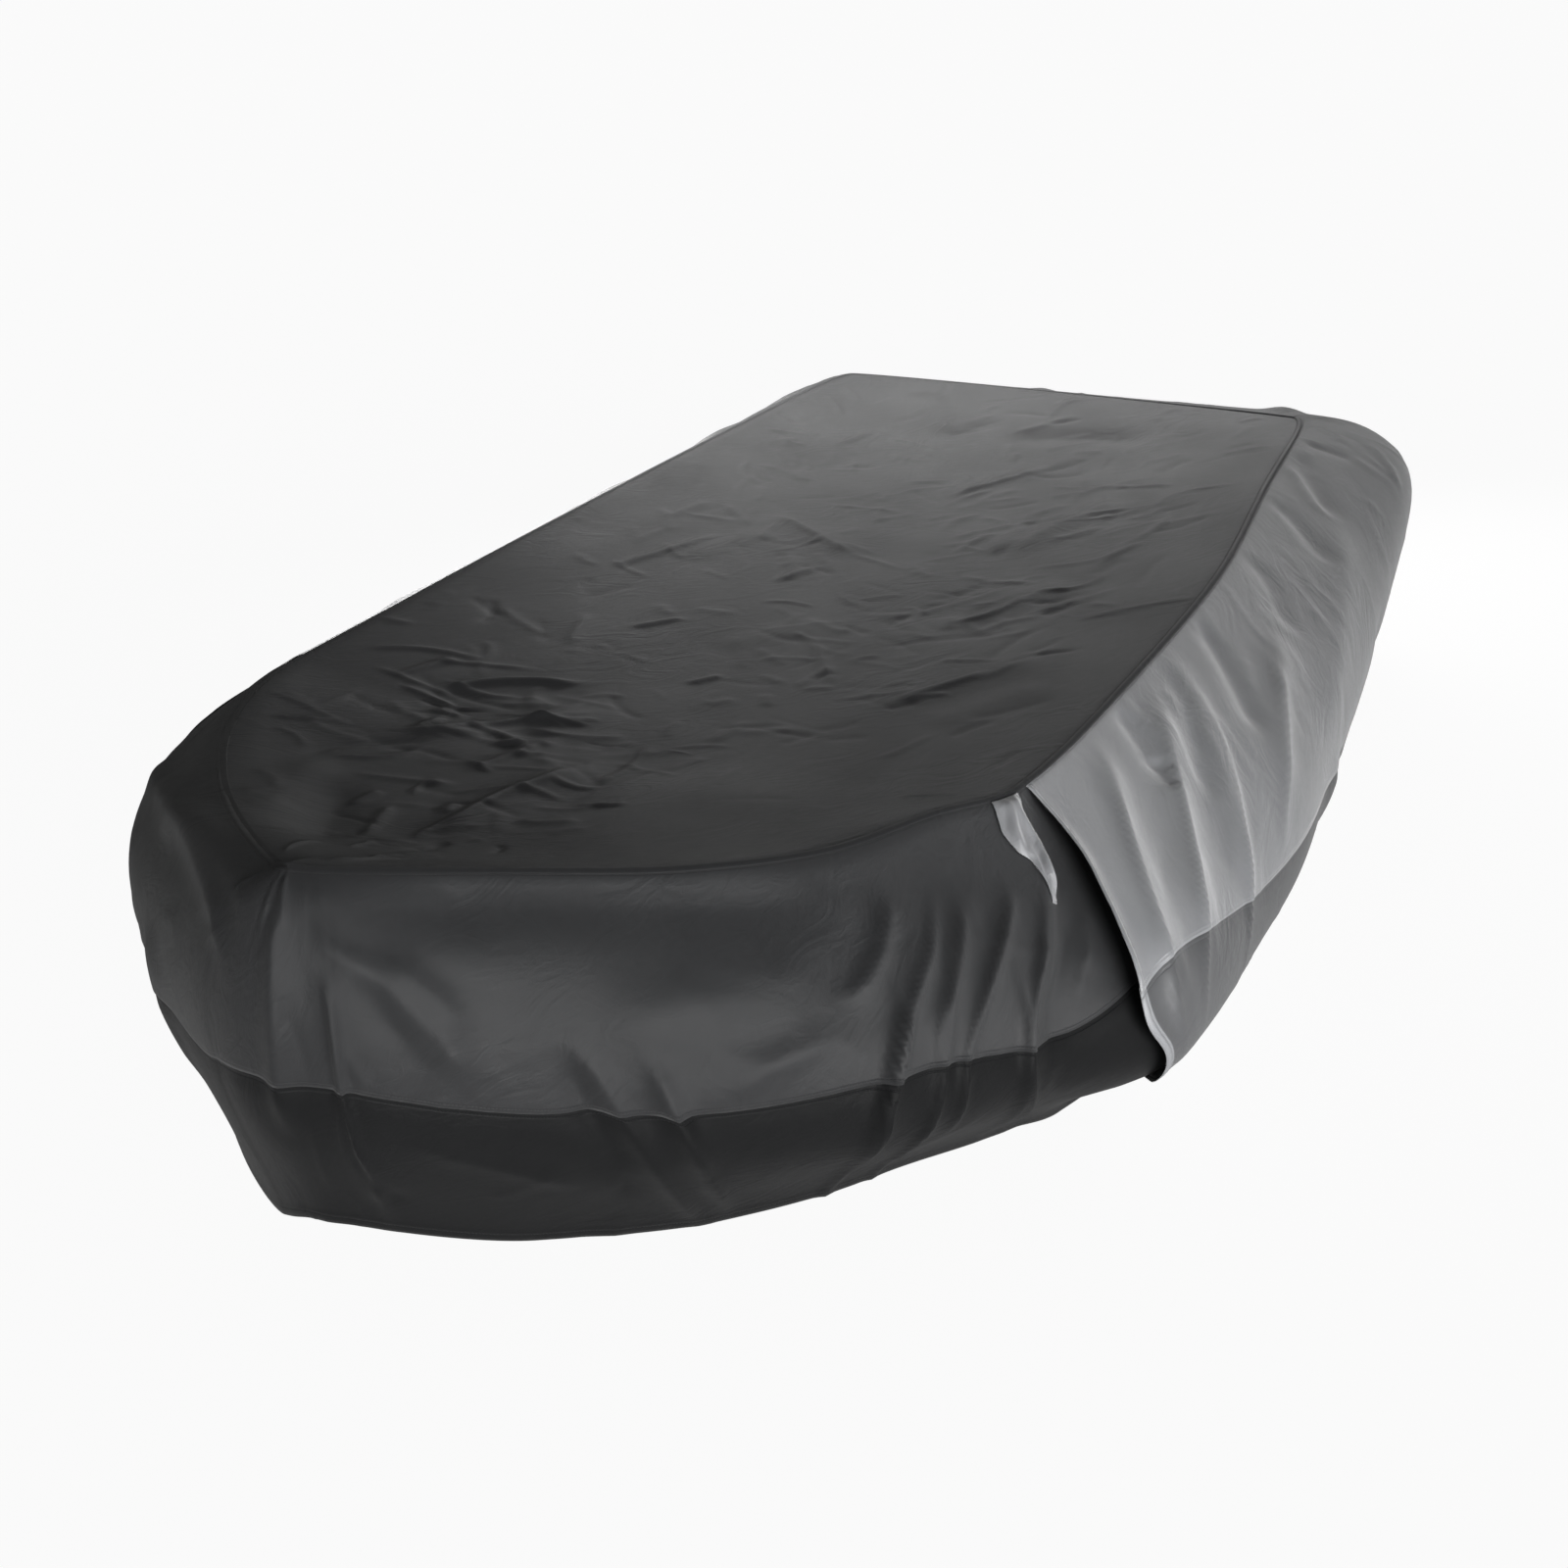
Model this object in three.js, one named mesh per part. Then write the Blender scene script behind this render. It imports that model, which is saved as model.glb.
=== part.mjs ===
// Fitted cover for a small inflatable kayak, draped over its round side tubes.
// A flat top is sewn along a rim seam to four side skirts, and each skirt ends in a darker hem band.
// Millimetres, +X to the bow, +Y to port, +Z up. The origin is the middle of the plan, level with the low hem.
import * as THREE from 'three';

// Driving sizes
const CLOTH = 3;
const SEAM_GAP = 0.3;
const BULGE_REACH = 200;

// Names the values of each row of a table.
function table(columns, rows) {
  const names = columns.split(' ');
  return rows.map((row) => Object.fromEntries(row.map((value, i) => [names[i], value])));
}

// The rim seam and the side cloth's section, at places from the bow tip to the middle of the stern.
// x, y, z: the rim seam, y measured out from the middle line.
// heading: the way the cloth falls in plan, 0 is ahead and 90 is abeam. start: how steeply it leaves the rim.
// bulge, bulgeZ: how far it stands out over the side tube, and at what height. hem, hemZ: the same for the hem.
// band: the height of the hem band along the cloth.
const SECTION = 'x y z heading start bulge bulgeZ hem hemZ band';
const TIP = table(SECTION, [
  [1412, 8, 652, 0, 42, 72, 430, 20, 223, 225],
])[0];
const PORT = table(SECTION, [
  [1396, 34, 646, 44, 42, 82, 420, 22, 212, 225],
  [1265, 160, 608, 50, 46, 115, 360, 45, 153, 230],
  [1125, 303, 572, 53, 52, 145, 320, 65, 137, 225],
  [975, 413, 546, 61, 56, 178, 300, 82, 135, 235],
  [815, 475, 528, 71, 55, 215, 275, 95, 99, 245],
  [675, 535, 510, 82, 45, 255, 245, 112, 78, 334],
  [345, 562, 500, 90, 40, 270, 220, 155, 15, 296],
  [-225, 585, 500, 90, 36, 230, 235, 150, 0, 240],
  [-800, 557, 500, 91, 26, 246, 290, 130, 0, 230],
  [-1245, 538, 500, 96, 6, 244, 360, 110, 0, 230],
  [-1312, 518, 500, 135, 3, 244, 370, 105, 0, 230],
]);
const STARBOARD = table(SECTION, [
  [1394, 22, 646, 44, 42, 82, 450, 32, 200, 225],
  [1265, 180, 608, 48, 40, 100, 418, 42, 151, 230],
  [1125, 318, 572, 52, 40, 120, 388, 48, 141, 225],
  [975, 434, 546, 60, 44, 145, 350, 60, 130, 230],
  [815, 514, 528, 71, 46, 178, 310, 85, 96, 235],
  [675, 556, 510, 82, 44, 208, 280, 100, 70, 240],
  [345, 570, 500, 90, 42, 228, 245, 150, 15, 240],
  [-225, 562, 500, 90, 40, 228, 250, 150, 0, 235],
  [-800, 545, 500, 91, 38, 220, 280, 130, 0, 230],
  [-1245, 520, 500, 96, 30, 216, 320, 110, 0, 230],
  [-1312, 496, 500, 135, 20, 210, 335, 105, 0, 230],
]);
const STERN = table(SECTION, [
  [-1332, 0, 500, 180, 14, 210, 345, 100, 0, 230],
])[0];
const SHOULDER_ROW = 5;
const CORNER_ROW = 10;

// The whole loop of sections: tip, port side, stern, starboard side.
const starboardRows = STARBOARD.map((row) => ({ ...row, y: -row.y, heading: 360 - row.heading })).reverse();
const loop = [TIP, ...PORT, STERN, ...starboardRows];

function bulgePoint(row) {
  const angle = THREE.MathUtils.degToRad(row.heading);
  return new THREE.Vector2(row.x + BULGE_REACH * Math.cos(angle), row.y + BULGE_REACH * Math.sin(angle));
}

// Each section's place q along the loop, measured outside the rim, over the side tubes.
const places = [0];
loop.forEach((row, i) => {
  const next = loop[(i + 1) % loop.length];
  places.push(places[i] + bulgePoint(row).distanceTo(bulgePoint(next)));
});
const ROUND = places.pop();
const Q_SHOULDER = places[1 + SHOULDER_ROW];
const Q_CORNER = places[1 + CORNER_ROW];
const Q_SHOULDER_STARBOARD = places[loop.length - 1 - SHOULDER_ROW] - ROUND;
const Q_CORNER_STARBOARD = places[loop.length - 1 - CORNER_ROW] - ROUND;

// A smooth curve through (xs, ys) that never overshoots its points.
function smoothCurve(xs, ys) {
  const n = xs.length;
  const slopes = xs.slice(1).map((x, i) => (ys[i + 1] - ys[i]) / (x - xs[i]));
  const tangents = xs.map((x, i) => {
    if (i === 0 || i === n - 1) return slopes[Math.min(i, n - 2)];
    const before = slopes[i - 1];
    const after = slopes[i];
    if (before * after <= 0) return 0;
    const left = xs[i] - xs[i - 1];
    const right = xs[i + 1] - xs[i];
    return (3 * (left + right)) / ((2 * right + left) / before + (right + 2 * left) / after);
  });
  return (x) => {
    let i = 0;
    while (i < n - 2 && x > xs[i + 1]) i += 1;
    const width = xs[i + 1] - xs[i];
    const t = Math.min(Math.max((x - xs[i]) / width, 0), 1);
    const rise = ys[i + 1] - ys[i];
    const a = tangents[i] * width - rise;
    const b = rise - tangents[i + 1] * width;
    return ys[i] + t * rise + t * (1 - t) * (a * (1 - t) + b * t);
  };
}

const turns = [-1, 0, 1];
const loopPlaces = turns.flatMap((turn) => places.map((q) => q + turn * ROUND));
const section = Object.fromEntries(SECTION.split(' ').map((name) => {
  const fullTurn = name === 'heading' ? 360 : 0;
  const values = turns.flatMap((turn) => loop.map((row) => row[name] + turn * fullTurn));
  return [name, smoothCurve(loopPlaces, values)];
}));

function sectionAt(q) {
  return Object.fromEntries(Object.entries(section).map(([name, curve]) => [name, curve(q)]));
}

// The side cloth's section at q, as a polyline of (out from the rim, height). HANDLE rounds its two curves, and
// HEM_LEAN is how far the lower one has still to come in above the hem.
const SECTION_STEPS = 40;
const HANDLE = 0.38;
const HEM_LEAN = 0.3;
function profileAt(at) {
  const start = THREE.MathUtils.degToRad(at.start);
  const upper = Math.hypot(at.bulge, at.z - at.bulgeZ);
  const lower = Math.hypot(at.bulge - at.hem, at.bulgeZ - at.hemZ);
  const top = new THREE.CubicBezierCurve(
    new THREE.Vector2(0, at.z),
    new THREE.Vector2(HANDLE * upper * Math.cos(start), at.z - HANDLE * upper * Math.sin(start)),
    new THREE.Vector2(at.bulge, at.bulgeZ + HANDLE * upper),
    new THREE.Vector2(at.bulge, at.bulgeZ),
  );
  const bottom = new THREE.CubicBezierCurve(
    new THREE.Vector2(at.bulge, at.bulgeZ),
    new THREE.Vector2(at.bulge, at.bulgeZ - HANDLE * lower),
    new THREE.Vector2(at.hem + HEM_LEAN * (at.bulge - at.hem), at.hemZ + HANDLE * (at.bulgeZ - at.hemZ)),
    new THREE.Vector2(at.hem, at.hemZ),
  );
  const points = [...top.getPoints(SECTION_STEPS), ...bottom.getPoints(SECTION_STEPS).slice(1)];
  const lengths = [0];
  points.slice(1).forEach((point, i) => lengths.push(lengths[i] + point.distanceTo(points[i])));
  return { points, lengths, drop: lengths[lengths.length - 1] };
}

const known = new Map();
function sideAt(q) {
  const key = q.toFixed(4);
  if (!known.has(key)) {
    const at = sectionAt(q);
    const angle = THREE.MathUtils.degToRad(at.heading);
    known.set(key, { at, out: new THREE.Vector2(Math.cos(angle), Math.sin(angle)), ...profileAt(at) });
  }
  return known.get(key);
}

// The smooth side surface: q along the loop, s the length of cloth down from the rim.
function smoothSide(q, s) {
  const side = sideAt(q);
  let i = 0;
  while (i < side.lengths.length - 2 && s > side.lengths[i + 1]) i += 1;
  const t = (s - side.lengths[i]) / (side.lengths[i + 1] - side.lengths[i]);
  const point = side.points[i].clone().lerp(side.points[i + 1], t);
  return new THREE.Vector3(side.at.x + side.out.x * point.x, side.at.y + side.out.y * point.x, point.y);
}

// Folds, each a soft ridge along a path, or a trough where its height is negative. width: across. height: out.
// A fold fades over FOLD_FADE of its length at each end. FOLD_REACH is in widths.
const FOLD_FADE = 0.25;
const FOLD_REACH = 2.5;
function foldTable(rows) {
  return table('path width height', rows).map((fold) => {
    const points = fold.path.map(([first, second]) => new THREE.Vector2(first, second));
    const runs = points.slice(1).map((point, i) => point.clone().sub(points[i]));
    const box = new THREE.Box2().setFromPoints(points).expandByScalar(FOLD_REACH * fold.width);
    const length = runs.reduce((sum, run) => sum + run.length(), 0);
    return { ...fold, points, runs, box, length };
  });
}

// Folds of the side cloth, along paths of places on the loop and lengths down from the rim.
const PORT_FOLDS = foldTable([
  [[[1470, 10], [1444, 35], [1340, 120], [1264, 186], [1192, 262], [1144, 356]], 26, 9],
  [[[1700, 3], [1648, 59], [1552, 115], [1456, 175], [1384, 222], [1320, 268], [1228, 333]], 30, 12],
  [[[1820, 0], [1800, 20], [1692, 118], [1636, 171], [1564, 227], [1496, 293], [1444, 367]], 30, 12],
  [[[1780, 10], [1716, 82], [1612, 148], [1540, 205]], 26, -8],
  [[[1560, 5], [1556, 41], [1500, 130]], 24, -7],
  [[[1970, 6], [1908, 89], [1836, 159], [1784, 204]], 26, -8],
  [[[2148, 135], [1990, 175], [1840, 217], [1692, 301]], 36, 9],
  [[[2760, 130], [2684, 162], [2388, 217], [2144, 260], [1990, 300]], 46, 9],
  [[[2330, 20], [2256, 91], [2148, 150]], 34, -6],
  [[[2960, 10], [2796, 94], [2720, 150]], 28, -8],
  [[[2660, 15], [2556, 127], [2500, 180]], 30, -6],
  [[[2080, 330], [2040, 600]], 60, 10],
  [[[2620, 300], [2600, 600]], 55, -9],
]);
const BOW_FOLDS = foldTable([
  [[[1068, 105], [992, 173], [924, 213], [888, 237], [852, 273]], 24, 8],
  [[[1004, 87], [924, 151], [872, 195], [824, 223], [796, 266]], 24, 8],
  [[[900, 100], [844, 159], [788, 215], [760, 283], [732, 353], [715, 420]], 24, 10],
  [[[872, 64], [812, 128], [768, 163], [728, 181]], 28, 7],
  [[[784, 46], [744, 99], [704, 133]], 32, 5],
  [[[430, 178], [536, 160], [600, 144], [660, 142], [730, 125]], 42, 11],
  [[[520, 263], [600, 235], [648, 222], [708, 208]], 32, 7],
  [[[496, 202], [512, 259], [524, 314], [544, 373]], 26, 6],
  [[[404, 190], [416, 234], [428, 271], [452, 316], [470, 370]], 28, -9],
  [[[160, 105], [164, 153], [170, 230]], 24, 7],
  [[[240, 85], [272, 141], [304, 195], [320, 230]], 28, 8],
  [[[215, 110], [252, 166], [296, 221]], 26, -7],
  [[[180, 300], [235, 420]], 30, 6],
  [[[62, 10], [52, 150], [44, 310]], 30, 11],
  [[[190, 50], [480, 38], [780, 60]], 38, -9],
  [[[-250, 15], [-560, 60], [-1000, 170]], 30, 10],
  [[[-420, 170], [-460, 420]], 45, 9],
  [[[-820, 200], [-760, 460]], 40, -9],
]);
const STARBOARD_FOLDS = foldTable([
  [[[-1430, 50], [-1360, 200], [-1270, 380]], 30, 10],
  [[[-1720, 30], [-1640, 200], [-1500, 420]], 34, 12],
  [[[-2080, 60], [-1930, 360]], 50, -9],
  [[[-2420, 40], [-2330, 240], [-2280, 460]], 45, 11],
  [[[-2900, 90], [-2800, 420]], 55, 9],
  [[[-3180, 20], [-3080, 300]], 32, -8],
]);
const STERN_FOLDS = foldTable([
  [[[3560, 20], [3600, 330]], 34, 10],
  [[[3830, 60], [3800, 480]], 48, -8],
  [[[4110, 20], [4140, 420]], 42, 10],
  [[[4450, 40], [4400, 360]], 40, 9],
]);
const FOLDS = [...PORT_FOLDS, ...BOW_FOLDS, ...STARBOARD_FOLDS, ...STERN_FOLDS];
const RIM_FADE = 28;

// The shoulder pleat, by length down from the rim: the side skirt's free front edge, the bow skirt's last ridge
// and the end of its hidden tuck, all measured aft of the shoulder, and how deep the tuck lies.
const PLEAT = table('down edge ridge end depth', [
  [0, 20, -35, 20, 0],
  [12, 20, -38, 19, 4],
  [24, 20, -42, 28, 9],
  [50, 18, -50, 50, 16],
  [105, 2, -80, 70, 20],
  [180, -40, -140, 38, 24],
  [250, -76, -210, 0, 24],
  [315, -96, -228, -6, 18],
  [400, -64, -215, 40, 15],
  [600, 140, -150, 230, 24],
]);
const pleat = Object.fromEntries(['edge', 'ridge', 'end', 'depth'].map((name) => [
  name, smoothCurve(PLEAT.map((row) => row.down), PLEAT.map((row) => row[name])),
]));
const TUCK_BEND = 0.7;
// The tuck's hem hangs lower than the bow's, and the side skirt's front corner is drawn up.
const TUCK_HANG = 30;
const CORNER_LIFT = { height: 45, width: 120 };

function smoothStep(low, high, x) {
  return THREE.MathUtils.smoothstep(x, low, high);
}

function wrapped(distance) {
  return distance - ROUND * Math.round(distance / ROUND);
}

// The height of one fold at a place.
function heightOf(fold, place) {
  if (!fold.box.containsPoint(place)) return 0;
  let nearest = Infinity;
  let share = 0;
  let passed = 0;
  fold.runs.forEach((run, i) => {
    const from = place.clone().sub(fold.points[i]);
    const t = THREE.MathUtils.clamp(from.dot(run) / run.lengthSq(), 0, 1);
    const off = from.addScaledVector(run, -t).length();
    if (off < nearest) {
      nearest = off;
      share = (passed + t * run.length()) / fold.length;
    }
    passed += run.length();
  });
  const ends = smoothStep(0, FOLD_FADE, share) * (1 - smoothStep(1 - FOLD_FADE, 1, share));
  return fold.height * ends * Math.exp(-((nearest / fold.width) ** 2));
}

function foldHeight(q, s) {
  const height = FOLDS.reduce((sum, fold) => {
    const start = fold.points[0].x;
    return sum + heightOf(fold, new THREE.Vector2(start + wrapped(q - start), s));
  }, 0);
  return height * smoothStep(0, RIM_FADE, s);
}

// The normal of a surface, measured over a reach each way.
const FACE_REACH = 3;
const PUSH_REACH = 14;
function normalOf(surface, q, s, reach) {
  const alongQ = surface(q + reach, s).sub(surface(q - reach, s));
  const alongS = surface(q, s + reach).sub(surface(q, Math.max(s - reach, 0)));
  return alongS.cross(alongQ).normalize();
}

// The way down along the smooth side.
function downSide(q, s) {
  return smoothSide(q, s).sub(smoothSide(q, Math.max(s - PUSH_REACH, 0))).normalize();
}

// Folds push the cloth outward, and up where it faces up, so that the hem stays level.
function foldedSide(q, s) {
  const push = normalOf(smoothSide, q, s, PUSH_REACH);
  push.z = Math.max(push.z, 0);
  return smoothSide(q, s).addScaledVector(push.normalize(), foldHeight(q, s));
}

// Length down from the rim, scaled so that the band's seam is at SKIRT_DOWN all round, and the hem at HEM_DOWN.
const SKIRT_DOWN = 290;
const HEM_DOWN = 600;
function scaledDown(q, s) {
  const { drop, at } = sideAt(q);
  const skirt = drop - at.band;
  if (s < skirt) return (s / skirt) * SKIRT_DOWN;
  return SKIRT_DOWN + ((s - skirt) / at.band) * (HEM_DOWN - SKIRT_DOWN);
}
function lengthDown(q, down) {
  const { drop, at } = sideAt(q);
  const skirt = drop - at.band;
  if (down < SKIRT_DOWN) return (down / SKIRT_DOWN) * skirt;
  return skirt + ((down - SKIRT_DOWN) / (HEM_DOWN - SKIRT_DOWN)) * at.band;
}

// The bow cloth turns inward past its last ridge on each side, and runs on behind the side skirt's front edge.
function tuckDepth(aft, down) {
  const from = pleat.ridge(down);
  const to = from + TUCK_BEND * (pleat.end(down) - from);
  return pleat.depth(down) * smoothStep(from, Math.max(to, from + 1), aft);
}
function bowCloth(q, s) {
  const place = wrapped(q);
  const aft = place > 0 ? place - Q_SHOULDER : Q_SHOULDER_STARBOARD - place;
  const down = scaledDown(q, s);
  const push = normalOf(smoothSide, q, s, PUSH_REACH);
  const point = foldedSide(q, s).addScaledVector(push, -tuckDepth(aft, down));
  const hang = TUCK_HANG * smoothStep(SKIRT_DOWN, HEM_DOWN, down) * smoothStep(pleat.ridge(down), 0, aft);
  return point.addScaledVector(downSide(q, s), hang);
}

// The side skirt's front edge is rolled, and the cloth behind it stands a little proud.
const ROLL = { width: 16, height: 6, full: 150 };
const FLARE = { width: 95, height: 8, from: 200, full: 350, fade: 400 };
function sideCloth(q, s) {
  const place = wrapped(q);
  const aft = place > 0 ? place - Q_SHOULDER : Q_SHOULDER_STARBOARD - place;
  const down = scaledDown(q, s);
  const behind = aft - pleat.edge(down);
  const roll = ROLL.height * Math.exp(-((behind / ROLL.width) ** 2));
  const low = smoothStep(FLARE.from, FLARE.full, down) * (1 - smoothStep(FLARE.fade, HEM_DOWN, down));
  const flare = FLARE.height * Math.exp(-((behind / FLARE.width) ** 2)) * low;
  const corner = Math.exp(-((behind / CORNER_LIFT.width) ** 2)) * smoothStep(SKIRT_DOWN, HEM_DOWN, down);
  const raised = s - CORNER_LIFT.height * corner;
  const push = normalOf(smoothSide, q, raised, PUSH_REACH);
  return foldedSide(q, raised).addScaledVector(push, roll * smoothStep(0, ROLL.full, down) + flare);
}

// Columns of cloth: each gives its place along the loop at a length down from the rim. The bow's run evenly to
// RIDGE_START ahead of the shoulder and then lean with the pleat, and the side's lean with it over EASE.
const RIDGE_START = 420;
const BOW_PLAIN = [
  0, 0.03, 0.07, 0.12, 0.18, 0.24, 0.3, 0.37, 0.44, 0.51, 0.58, 0.65, 0.72, 0.79, 0.86, 0.93, 1,
];
const BOW_TO_RIDGE = [0.14, 0.28, 0.42, 0.56, 0.7, 0.82, 0.92, 1];
const BOW_TUCK = [0.12, 0.22, 0.5, 1];
const SIDE_BEHIND = [
  0, 16, 40, 75, 115, 155, 200, 250, 300, 350, 400, 460, 520, 580, 640, 700, 760, 830, 910, 1000, 1100, 1200,
];
const SIDE_AFT = [0.2, 0.38, 0.54, 0.68, 0.8, 0.9, 1];
const EASE = 900;

function bowColumns(shoulder, sign) {
  const start = shoulder - sign * RIDGE_START;
  return [
    ...BOW_PLAIN.map((share) => () => share * start),
    ...BOW_TO_RIDGE.map((share) => (down) => start + sign * share * (RIDGE_START + pleat.ridge(down))),
    ...BOW_TUCK.map((share) => (down) => {
      const ridge = pleat.ridge(down);
      return shoulder + sign * (ridge + share * (pleat.end(down) - ridge));
    }),
  ];
}
function sideColumns(shoulder, corner, sign) {
  const last = SIDE_BEHIND[SIDE_BEHIND.length - 1];
  const rest = sign * (corner - shoulder) - last;
  const behind = [...SIDE_BEHIND, ...SIDE_AFT.map((share) => last + share * rest)];
  return behind.map((aft) => (down) => {
    const ease = Math.max(1 - aft / EASE, 0);
    return shoulder + sign * (aft + ease * pleat.edge(down));
  });
}
const bowPort = bowColumns(Q_SHOULDER, 1);
const bowStarboard = bowColumns(Q_SHOULDER_STARBOARD, -1);
const sidePort = sideColumns(Q_SHOULDER, Q_CORNER, 1);
const sideStarboard = sideColumns(Q_SHOULDER_STARBOARD, Q_CORNER_STARBOARD, -1);
const ACROSS = [
  0, 0.025, 0.065, 0.12, 0.18, 0.245, 0.31, 0.375, 0.44,
  0.5, 0.56, 0.625, 0.69, 0.755, 0.82, 0.88, 0.935, 0.975, 1,
];
const sternColumns = ACROSS.map((share) => () => {
  const end = Q_CORNER_STARBOARD + ROUND;
  return Q_CORNER + share * (end - Q_CORNER);
});

// Rows of cloth, as shares of the skirt's and the band's height.
const SKIRT_ROWS = [0, 0.04, 0.1, 0.18, 0.28, 0.4, 0.52, 0.64, 0.76, 0.88, 1];
const BAND_ROWS = [0, 0.5, 1];
const skirtDowns = SKIRT_ROWS.map((share) => share * SKIRT_DOWN);
const bandDowns = BAND_ROWS.map((share) => SKIRT_DOWN + share * (HEM_DOWN - SKIRT_DOWN));

const SHARE_WITHIN = 0.0005;

// One closed sheet from a grid of outer points and the inner points behind them. Points that meet are shared.
function sheetGeometry(outer, inner) {
  const positions = [];
  const numbers = new Map();
  const vertex = (point) => {
    const key = point.toArray().map((value) => Math.round(value / SHARE_WITHIN)).join(' ');
    if (!numbers.has(key)) {
      numbers.set(key, positions.length / 3);
      positions.push(point.x, point.y, point.z);
    }
    return numbers.get(key);
  };
  const faces = [];
  const triangle = (a, b, c) => {
    if (a !== b && b !== c && c !== a) faces.push(a, b, c);
  };
  const quad = (a, b, c, d) => {
    triangle(a, b, c);
    triangle(a, c, d);
  };
  const front = outer.map((column) => column.map(vertex));
  const back = inner.map((column) => column.map(vertex));
  const lastColumn = front.length - 1;
  const lastRow = front[0].length - 1;
  for (let i = 0; i < lastColumn; i += 1) {
    for (let j = 0; j < lastRow; j += 1) {
      quad(front[i][j], front[i][j + 1], front[i + 1][j + 1], front[i + 1][j]);
      quad(back[i][j], back[i + 1][j], back[i + 1][j + 1], back[i][j + 1]);
    }
    quad(front[i][0], front[i + 1][0], back[i + 1][0], back[i][0]);
    quad(front[i][lastRow], back[i][lastRow], back[i + 1][lastRow], front[i + 1][lastRow]);
  }
  for (let j = 0; j < lastRow; j += 1) {
    quad(front[0][j], back[0][j], back[0][j + 1], front[0][j + 1]);
    quad(front[lastColumn][j], front[lastColumn][j + 1], back[lastColumn][j + 1], back[lastColumn][j]);
  }
  const geometry = new THREE.BufferGeometry();
  geometry.setAttribute('position', new THREE.Float32BufferAttribute(positions, 3));
  geometry.setIndex(faces);
  geometry.computeVertexNormals();
  return geometry;
}

const HALF_GAP = SEAM_GAP / 2;
// The least a face may face up where the cloth's thickness is measured straight down.
const LEAN_MIN = 0.5;

// A strip of side cloth between two lengths down. ends: +1 or -1 where an end draws back along the loop.
function sideStrip(columns, downs, cloth, ends) {
  const last = columns.length - 1;
  const at = (i, down) => {
    const q = columns[i](down);
    return cloth(q, lengthDown(q, down));
  };
  const outer = [];
  const inner = [];
  columns.forEach((column, i) => {
    outer.push([]);
    inner.push([]);
    downs.forEach((down, j) => {
      const q = column(down);
      const point = at(i, down);
      const normal = normalOf(cloth, q, lengthDown(q, down), FACE_REACH);
      const alongQ = at(Math.min(i + 1, last), down).sub(at(Math.max(i - 1, 0), down)).normalize();
      const alongS = alongQ.clone().cross(normal).normalize();
      const { out } = sideAt(q);
      if (down === 0) point.add(new THREE.Vector3(out.x, out.y, 0).multiplyScalar(HALF_GAP));
      else if (j === 0) point.addScaledVector(alongS, HALF_GAP);
      else if (down === SKIRT_DOWN) point.addScaledVector(alongS, -HALF_GAP);
      if (i === 0) point.addScaledVector(alongQ, ends[0] * HALF_GAP);
      if (i === last) point.addScaledVector(alongQ, ends[1] * HALF_GAP);
      outer[i].push(point);
      const thickness = down === 0
        ? new THREE.Vector3(0, 0, -CLOTH / Math.max(normal.z, LEAN_MIN))
        : normal.multiplyScalar(-CLOTH);
      inner[i].push(point.clone().add(thickness));
    });
  });
  return sheetGeometry(outer, inner);
}

// The top sags between the rims, fully where it is SAG.width across, and dips just inside the rim seam.
// Its rows bend to the stern's curve over STERN_EASE, and its folds fade within RIM_CALM of the seam.
const DIP = { depth: 6, width: 60 };
const SAG = { depth: 38, width: 700 };
const STERN_EASE = 420;
const RIM_CALM = 40;

// Folds of the top, along paths of x and y.
const TOP_FOLDS = foldTable([
  [[[1121, -23], [965, -46], [864, -20], [770, -19]], 34, 7],
  [[[980, 15], [880, 32], [739, 36], [670, 30]], 32, -5],
  [[[1289, -60], [1104, -177], [1000, -230]], 36, -8],
  [[[1230, -160], [1058, -255], [960, -285]], 34, 6],
  [[[870, -290], [695, -186], [560, -70]], 36, 6],
  [[[700, -335], [566, -217], [534, -123]], 34, -5],
  [[[-580, -30], [-710, 40], [-840, 100], [-1010, 165]], 36, 9],
  [[[-290, 160], [-416, 231], [-583, 273], [-700, 345]], 36, 7],
  [[[-345, -275], [-279, -149], [-195, -22]], 38, 6],
  [[[-30, -290], [-207, -253], [-240, -170]], 38, 5],
  [[[90, 200], [13, 282], [-130, 317], [-200, 370]], 34, 6],
  [[[440, 240], [327, 311], [236, 370], [150, 410]], 34, 6],
  [[[480, 335], [372, 399], [265, 464]], 34, 4],
  [[[-1010, -40], [-1090, 106], [-1088, 290]], 42, -8],
  [[[300, -70], [195, -14], [120, 70]], 34, 5],
  [[[-1240, -300], [-1070, -190], [-980, -135]], 38, 7],
]);

function topHeight(x, y) {
  return TOP_FOLDS.reduce((sum, fold) => sum + heightOf(fold, new THREE.Vector2(x, y)), 0);
}

function rimPoint(q) {
  const { at } = sideAt(q);
  return new THREE.Vector3(at.x, at.y, at.z);
}
function rimSeam(q, shift) {
  const { out } = sideAt(q);
  return rimPoint(q).add(new THREE.Vector3(out.x, out.y, 0).multiplyScalar(shift));
}

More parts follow.
